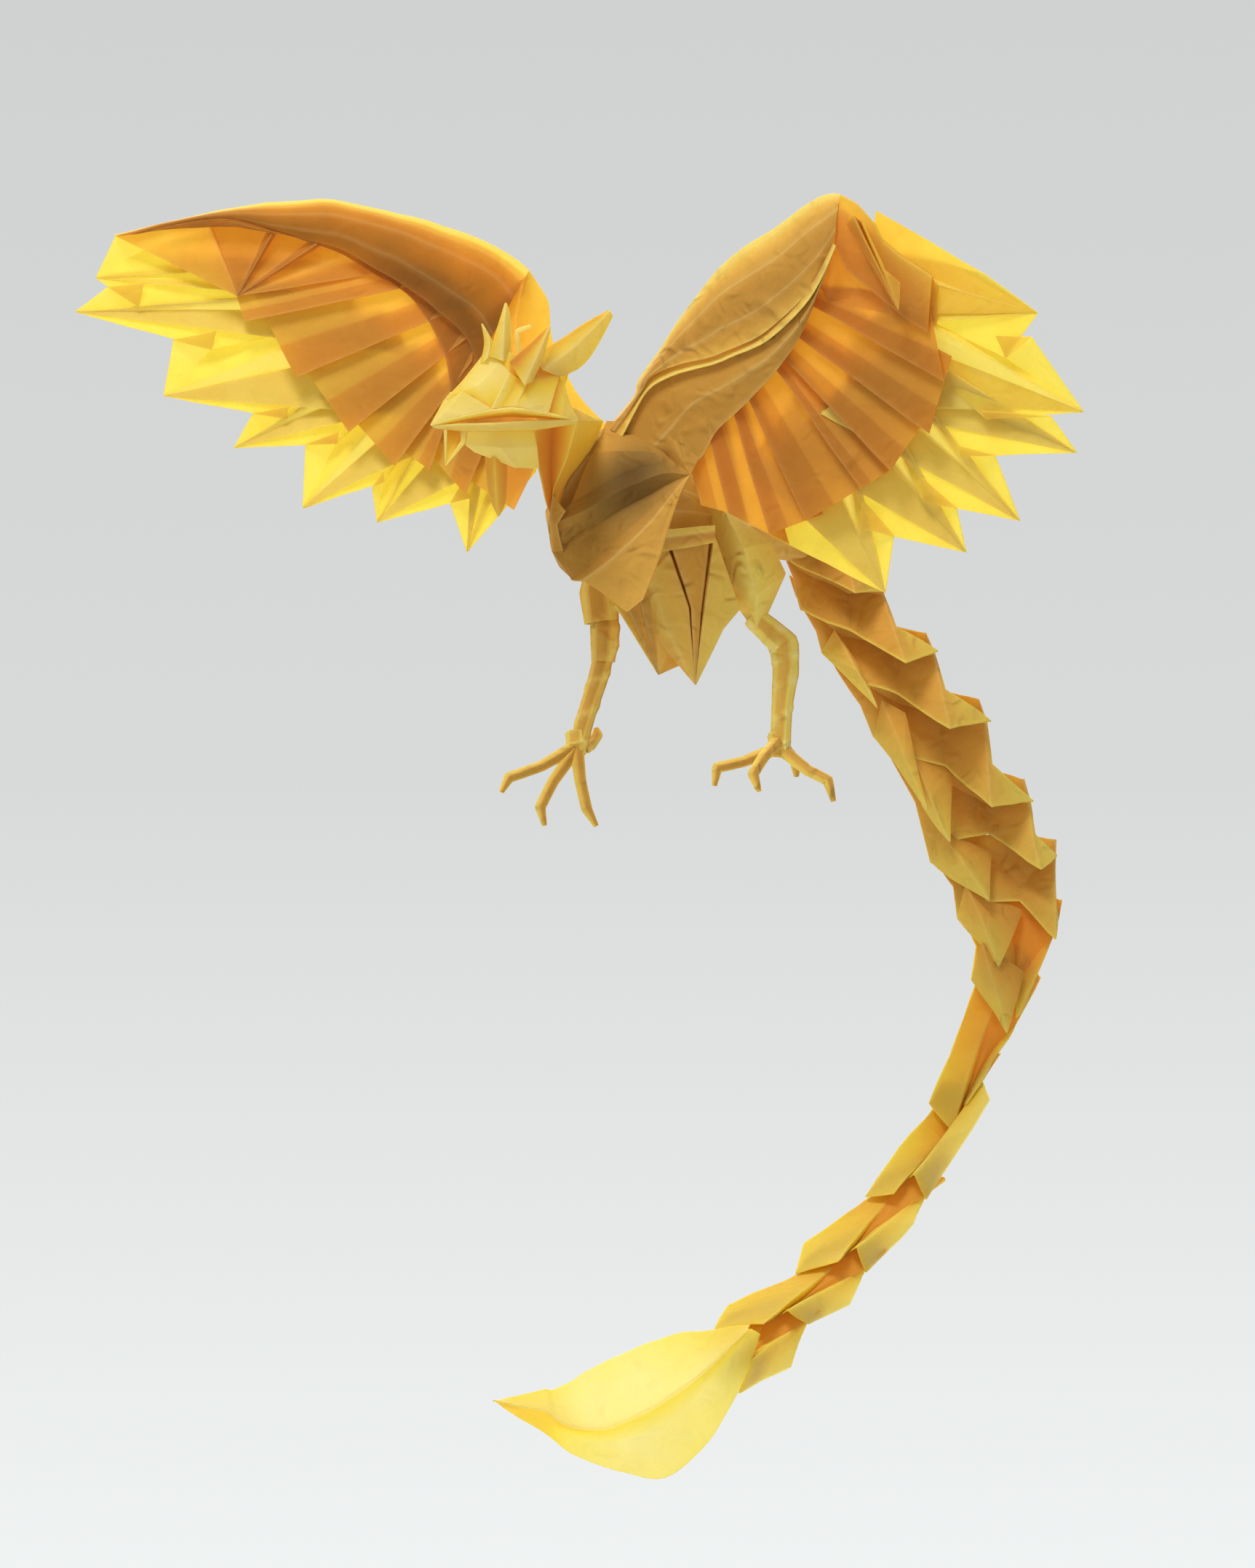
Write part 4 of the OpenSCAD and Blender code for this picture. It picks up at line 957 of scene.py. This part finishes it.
for label, leg, toes, depth in (("left_leg", left_leg, left_toes, LEFT_LEG_DEPTH),
                                ("right_leg", right_leg, right_toes, RIGHT_LEG_DEPTH)):
    ankle = rolled(ankle_path + toes[0][0], ANKLE_WIDTHS, 1.4, wraps=2.0)
    claws = [rolled(toe, TOE_WIDTHS, 1.7, sides=4, wraps=0, along=5) for toe in toes]
    set_back = np.array([0, depth, 0, 0, 0])
    paper_piece(label, [grid + set_back for grid in leg + [ankle] + claws], rolled_paper, 0.1, closed=True)

# The tail: one long strip pleated into hoods, each drawn in at its neck and slipped into the last.
# A hood's lower edge has two side tips and two ridges; they run aslant, so the hoods wind down the bow.
# Each hood is built in rows from its hidden neck over the waist to the lip, and a little way back inside.
tail_edges = [
    ((40.5, -29.5), (43.0, -31.0), (57.0, -38.0), (65.0, -37.6)),
    ((43.8, -37.8), (45.3, -41.8), (68.7, -53.5), (76.2, -51.3)),
    ((49.8, -50.8), (57.0, -57.5), (78.8, -68.8), (88.3, -67.3)),
    ((61.0, -70.5), (69.7, -75.3), (89.2, -86.7), (98.5, -85.3)),
    ((74.7, -100.2), (79.5, -95.0), (100.2, -101.2), (104.0, -98.2)),
    ((80.7, -112.5), (86.8, -108.7), (102.7, -117.2), (103.5, -113.0)),
    ((83.5, -126.8), (90.0, -124.5), (94.0, -135.3), (95.5, -133.7)),
    ((74.4, -154.8), (79.0, -161.0), (82.5, -155.0), (86.9, -149.0)),
    ((59.2, -176.6), (66.0, -176.0), (70.5, -172.0), (73.5, -177.2)),
    ((43.2, -193.6), (53.0, -190.5), (57.5, -187.5), (59.4, -193.0)),
    ((25.6, -206.8), (36.5, -206.0), (42.0, -202.5), (46.9, -205.6)),
    ((24.0, -210.0), (28.0, -216.0), (33.5, -214.0), (30.3, -221.3)),
]
tail_waists = {
    7: ((79.5, -144.0), (92.5, -140.0)),
    8: ((66.5, -165.5), (88.2, -153.6)),
    9: ((45.6, -187.0), (70.8, -182.6)),
    10: ((28.2, -201.3), (56.0, -200.4)),
    11: ((27.0, -209.0), (42.8, -215.8)),
}
tail_depth = [47.0, 50.0, 54.0, 57.5, 58.0, 55.5, 52.0, 44.0, 33.0, 20.0, 8.0, 1.0]
tail_start = ((33.0, -20.0), (36.0, -25.0), (50.0, -28.0), (56.0, -26.0))
tail_start_depth = 40.0
HOOD_DEEP = 0.3
BACK_LAYERS = 2.0


def hood_front(corners, depth, pattern):
    """Corners of a hood's front as points with depth: side tip, ridge, hollow, ridge, side tip; the pattern
    gives how far each stands forward, as a share of the hood's width."""
    left, ridge_a, ridge_b, right = np.array(corners)
    width = np.linalg.norm(right - left)
    hollow = (ridge_a + ridge_b) / 2
    front = [left, ridge_a, hollow, ridge_b, right]
    return np.array([[p[0], depth - out * width, p[1]] for p, out in zip(front, pattern)])


def hood_ring(front, depth, layers):
    """Ring of a hood: the front corners, then the same ridges turned over behind the middle depth."""
    behind = front[3:0:-1].copy()
    behind[:, 1] = depth + (depth - behind[:, 1]) * HOOD_DEEP
    ring = np.concatenate([front, behind, front[:1]])
    tone = np.concatenate([layers, np.full(3, BACK_LAYERS), layers[:1]])
    return np.column_stack([ring, tone])


HOOD_NOTCH = [0, 0.1, 0.16, 0.22, 0.3, 0.3, 0.3, 0.1, 0.05, 0, 0, 0]
UPPER_HOOD = np.array([0.0, 0.2, 0.16, 0.28, 0.04])
LOWER_HOOD = np.array([0.02, 0.34, -0.12, 0.26, 0.0])
# Painted shade across a hood's front, by its corners: darkest in the hollow, lightest at the right side tip.
HOOD_SHADE_TONES = np.array([2.0, 2.1, 2.8, 1.9, 1.2])
FIRST_TURNED, TURN_OVER = 5, 3
FLAT_NECK = 0.15
NECK_BEHIND = 1.6
TURNED_IN = 0.12
hoods = []
last_corners = tail_start
last_depth = tail_start_depth
for k, (corners, depth) in enumerate(zip(tail_edges, tail_depth)):
    turned = min(max((k - FIRST_TURNED) / TURN_OVER, 0), 1)
    pattern = UPPER_HOOD * (1 - turned) + LOWER_HOOD * turned
    left, ridge_a, ridge_b, right = np.array(last_corners)
    ridge_share = 0.4 - 0.3 * turned
    tucked = [left * 0.8 + ridge_a * 0.2, ridge_a * (1 - ridge_share) + ridge_b * ridge_share,
              ridge_b * 0.15 + right * 0.85, ridge_b * 0.1 + right * 0.9]
    top = hood_front(tucked, last_depth + NECK_BEHIND, pattern * FLAT_NECK)
    lip = hood_front(corners, depth, pattern)
    down = (lip - top).mean(axis=0)
    lip[2] -= down * HOOD_NOTCH[k]
    middle = lip.mean(axis=0) + [0, TURNED_IN * np.ptp(lip[:, 0]), 0]
    waist = top * 0.5 + lip * 0.5
    if k in tail_waists:
        waist[[0, 4]] = waist[[0, 4]] * [0, 1, 0] + np.insert(tail_waists[k], 1, 0, axis=1)
    else:
        waist[0] += (waist[1] - waist[0]) * 0.22
        waist[4] += (waist[3] - waist[4]) * 0.85
    waist[2, 1] += 1.0
    # Painted light and shade: darker at the neck, in the shadow of the last hood's lip, pale at the lip,
    # dark inside; the hoods get lighter down the tail, where more light falls.
    tone = HOOD_SHADE_TONES - 0.6 * min(k / 4, 1) - 0.8 * turned
    even = np.ones(len(tone))
    rows = [(-0.3, top - down * 0.3 + [0, 1.2, 0], tone + 0.9), (0.0, top, tone + 0.7),
            (0.5, waist, tone + 0.3), (0.9, waist * 0.12 + lip * 0.88, tone * 0.8 + 0.3),
            (1.0, lip, even * 1.0),
            (0.97, lip * 0.94 + middle * 0.06 - down * 0.03 + [0, 0.5, 0], even * 1.2),
            (0.6, waist * 0.4 + lip * 0.4 + middle * 0.2 + [0, 0.8, 0], even * 2.6)]
    rings = [hood_ring(front, last_depth + (depth - last_depth) * share, layers)
             for share, front, layers in rows]
    hoods.append(folded(np.swapaxes(np.array(rings), 0, 1), 5, 6, marked=[1, 3]))
    last_corners = corners
    last_depth = depth
THICK_HOODS = 6
paper_piece("tail_hoods", hoods[:THICK_HOODS], hood_paper, 0.3, closed=True)
paper_piece("tail_lower_hoods", hoods[THICK_HOODS:], thin_paper, 0.3, closed=True)

# The side scales of the tail: where the hoods turn, their right sides fold over into a second row.
# Each is a kite with a keel: its top and inner corner slip under the hood, its outer edges lie free.
side_scales = [
    [(53.0, 47.5, -46.0), (50.0, 50.0, -51.0), (62.0, 44.5, -64.0), (58.0, 45.5, -54.0)],
    [(63.0, 50.0, -62.0), (61.3, 54.0, -70.7), (74.0, 46.5, -88.0), (68.5, 48.0, -65.0)],
    [(70.5, 50.0, -75.0), (72.8, 51.0, -86.7), (79.3, 46.8, -95.2), (80.0, 54.0, -77.0)],
    [(77.0, 52.5, -92.0), (74.7, 56.0, -100.0), (87.2, 47.5, -108.6), (89.0, 55.0, -97.5)],
    [(82.5, 51.5, -104.5), (80.7, 54.0, -112.6), (89.6, 46.5, -123.8), (95.0, 54.0, -111.0)],
    [(85.5, 48.5, -118.0), (83.6, 51.0, -126.9), (92.5, 44.5, -139.0), (95.0, 51.0, -125.0)],
]
KEEL_RISE = 2.0
OUTER_TONES, KEEL_TONES, INNER_TONES = (2.0, 1.2, 0.9), (2.2, 1.4, 0.8), (2.6, 2.4, 1.2)
kites = []
for top, outer, tip, inner in np.array(side_scales):
    keel = (top + tip) / 2 - [0, KEEL_RISE, 0]
    edges = ((outer, OUTER_TONES), (keel, KEEL_TONES), (inner, INNER_TONES))
    net = [np.column_stack([(top, edge, tip), tones]) for edge, tones in edges]
    kites.append(folded(net, 7, 7, marked=[1]))
paper_piece("tail_side_scales", kites, hood_paper, 0.3)

# The leaf: the last corner of the sheet, opened out flat on both sides of a wavy crease.
# It is one layer, the palest paper of the figure; its stem slips into the last hood of the tail.
leaf_upper = [
    (33.2, -206.7), (25.6, -207.1), (19.6, -207.9), (11.3, -209.2), (1.5, -212.8), (-5.3, -215.8),
    (-8.7, -218.4), (-12.8, -220.1), (-15.1, -219.9), (-25.3, -223.3),
]
leaf_crease = [
    (33.4, -207.2), (28.5, -211.0), (24.1, -214.7), (16.6, -219.9), (9.0, -224.6), (1.5, -228.2),
    (-5.0, -229.4), (-10.6, -227.5), (-14.6, -225.0), (-25.3, -223.3),
]
leaf_lower = [
    (35.4, -208.6), (31.7, -217.3), (27.2, -225.2), (22.6, -232.0), (14.2, -240.1), (5.3, -239.6),
    (-1.5, -238.0), (-7.6, -235.0), (-12.6, -231.0), (-25.3, -223.3),
]
leaf_upper, leaf_crease, leaf_lower = (np.array(line) for line in (leaf_upper, leaf_crease, leaf_lower))
CREASE_SHADOW_SHARE = 0.05
SHADOW_SHARE = 0.3
leaf_crease_shadow = leaf_crease + (leaf_lower - leaf_crease) * CREASE_SHADOW_SHARE
leaf_shadow = leaf_crease + (leaf_lower - leaf_crease) * SHADOW_SHARE
upper_blade = (leaf_upper + leaf_crease) / 2
# Painted light and shade: pale along the crease, a shadow band just below it that fades towards the lower
# blade.
leaf_lines = [(leaf_upper, 3.0, [1.0, 0.8, 0.6, 0.4, 0.3, 0.2, 0.4, 0.8, 0.9, 0.9]),
              (upper_blade, 0.0, [0.8, 0.6, 0.5, 0.2, 0.0, 0.0, 0.1, 0.4, 0.6, 0.8]),
              (leaf_crease, -3.8, [0.6, 0.3, 0.0, 0.0, 0.0, 0.0, 0.0, 0.2, 0.2, 0.6]),
              (leaf_crease_shadow, -2.2, [1.3, 1.2, 1.2, 1.0, 0.9, 1.0, 1.3, 1.5, 1.3, 1.2]),
              (leaf_shadow, 0.4, [0.8, 0.4, 0.3, 0.2, 0.1, 0.1, 0.4, 0.9, 1.3, 1.3]),
              (leaf_lower, 2.5, [1.0, 0.7, 0.5, 0.4, 0.3, 0.3, 0.3, 0.6, 1.2, 1.2])]
LEAF_STEM_X, LEAF_STEM_DEPTH, LEAF_SLOPE = 33.0, -4.0, 0.3
leaf_net = []
for line, fold, layers in leaf_lines:
    depth = LEAF_STEM_DEPTH + LEAF_SLOPE * (line[:, 0] - LEAF_STEM_X) + fold
    leaf_net.append(np.column_stack([line[:, 0], depth, line[:, 1], layers]))
leaf_grid = folded(leaf_net, 6, 6, bend, marked=[2])
leaf_grid = wrinkled(wrinkled(leaf_grid, (22.0, -213.0), 11.0, 0.35), (8.0, -230.0), 9.0, 0.25)
paper_piece("tail_leaf", [leaf_grid], thin_paper, 0.4)

# The set: a pale round floor well below the hanging figure, a pale ground behind with painted light, lighter
# towards the bottom, and two soft lamps.
# The back lamp shines through the thin paper, the small key lamp models the folds from the front.
scene = bpy.context.scene
scene.view_settings.view_transform = "Standard"
FLOOR_R, FLOOR_Z, FLOOR_SIDES = 4.0, -0.6, 64
floor_mesh = bpy.data.meshes.new("floor")
floor_turn = np.linspace(0, 2 * math.pi, FLOOR_SIDES, endpoint=False)
floor_edge = [(FLOOR_R * math.cos(a), FLOOR_R * math.sin(a), FLOOR_Z) for a in floor_turn]
floor_mesh.from_pydata(floor_edge, [], [list(range(FLOOR_SIDES))])
floor = bpy.data.objects.new("floor", floor_mesh)
scene.collection.objects.link(floor)
floor_paint = bpy.data.materials.new("pale_floor")
floor_paint.use_nodes = True
floor_skin = floor_paint.node_tree.nodes["Principled BSDF"]
floor_skin.inputs["Base Color"].default_value = (0.86, 0.87, 0.87, 1)
floor_skin.inputs["Roughness"].default_value = 0.9
floor_mesh.materials.append(floor_paint)

world = bpy.data.worlds.new("pale_room")
scene.world = world
world.use_nodes = True
sky = world.node_tree
room = sky.nodes["Background"]
room.inputs["Color"].default_value = (1.0, 0.98, 0.95, 1)
room.inputs["Strength"].default_value = 0.46
ground = sky.nodes.new("ShaderNodeBackground")
view_way = sky.nodes.new("ShaderNodeTexCoord")
height = sky.nodes.new("ShaderNodeSeparateXYZ")
fade = sky.nodes.new("ShaderNodeMapRange")
fade.inputs["From Min"].default_value = -0.06
fade.inputs["From Max"].default_value = 0.06
# Painted light on the ground seen behind: pale towards the bottom, greyer towards the top.
shade = sky.nodes.new("ShaderNodeValToRGB")
shade.color_ramp.elements[0].color = (0.88, 0.90, 0.90, 1)
shade.color_ramp.elements[1].color = (0.63, 0.64, 0.64, 1)
shade.color_ramp.elements.new(0.5).color = (0.69, 0.70, 0.70, 1)
ray = sky.nodes.new("ShaderNodeLightPath")
seen = sky.nodes.new("ShaderNodeMath")
seen.operation = "MAXIMUM"
seen_through = sky.nodes.new("ShaderNodeMath")
seen_through.operation = "MAXIMUM"
either = sky.nodes.new("ShaderNodeMixShader")
for start, outlet, end, inlet in (
        (view_way, "Generated", height, 0), (height, "Z", fade, "Value"), (fade, "Result", shade, "Fac"),
        (shade, "Color", ground, "Color"), (ray, "Is Camera Ray", seen, 0), (ray, "Is Glossy Ray", seen, 1),
        (seen, "Value", seen_through, 0), (ray, "Is Transmission Ray", seen_through, 1),
        (seen_through, "Value", either, 0), (room, "Background", either, 1),
        (ground, "Background", either, 2)):
    sky.links.new(start.outputs[outlet], end.inputs[inlet])
sky.links.new(either.outputs["Shader"], sky.nodes["World Output"].inputs["Surface"])


def soft_lamp(name, place, aim, size, power, colour):
    """Square soft lamp at a place, turned so that it shines to its aim, and not seen itself."""
    data = bpy.data.lights.new(name, "AREA")
    data.size = size
    data.energy = power
    data.color = colour
    lamp = bpy.data.objects.new(name, data)
    way = np.subtract(aim, place)
    tilt = math.pi - math.acos(way[2] / np.linalg.norm(way))
    lamp.location = place
    lamp.rotation_euler = (tilt, 0, math.atan2(way[1], way[0]) - math.pi / 2)
    lamp.visible_camera = False
    scene.collection.objects.link(lamp)


soft_lamp("back_lamp", (0.1, 2.2, 0.9), (0, 0, -0.06), 2.0, 50.0, (1.0, 0.99, 0.96))
soft_lamp("key_lamp", (-0.4, -0.7, 1.4), (0, 0, -0.08), 0.5, 19.0, (1.0, 0.99, 0.97))

LENS = 300.6
camera = bpy.data.objects.new("camera", bpy.data.cameras.new("camera"))
camera.data.sensor_width = 36.0
camera.data.lens = LENS
camera.data.clip_end = 50.0
camera.location = EYE * MM
camera.rotation_euler = (math.pi / 2, 0, 0)
scene.collection.objects.link(camera)
scene.camera = camera
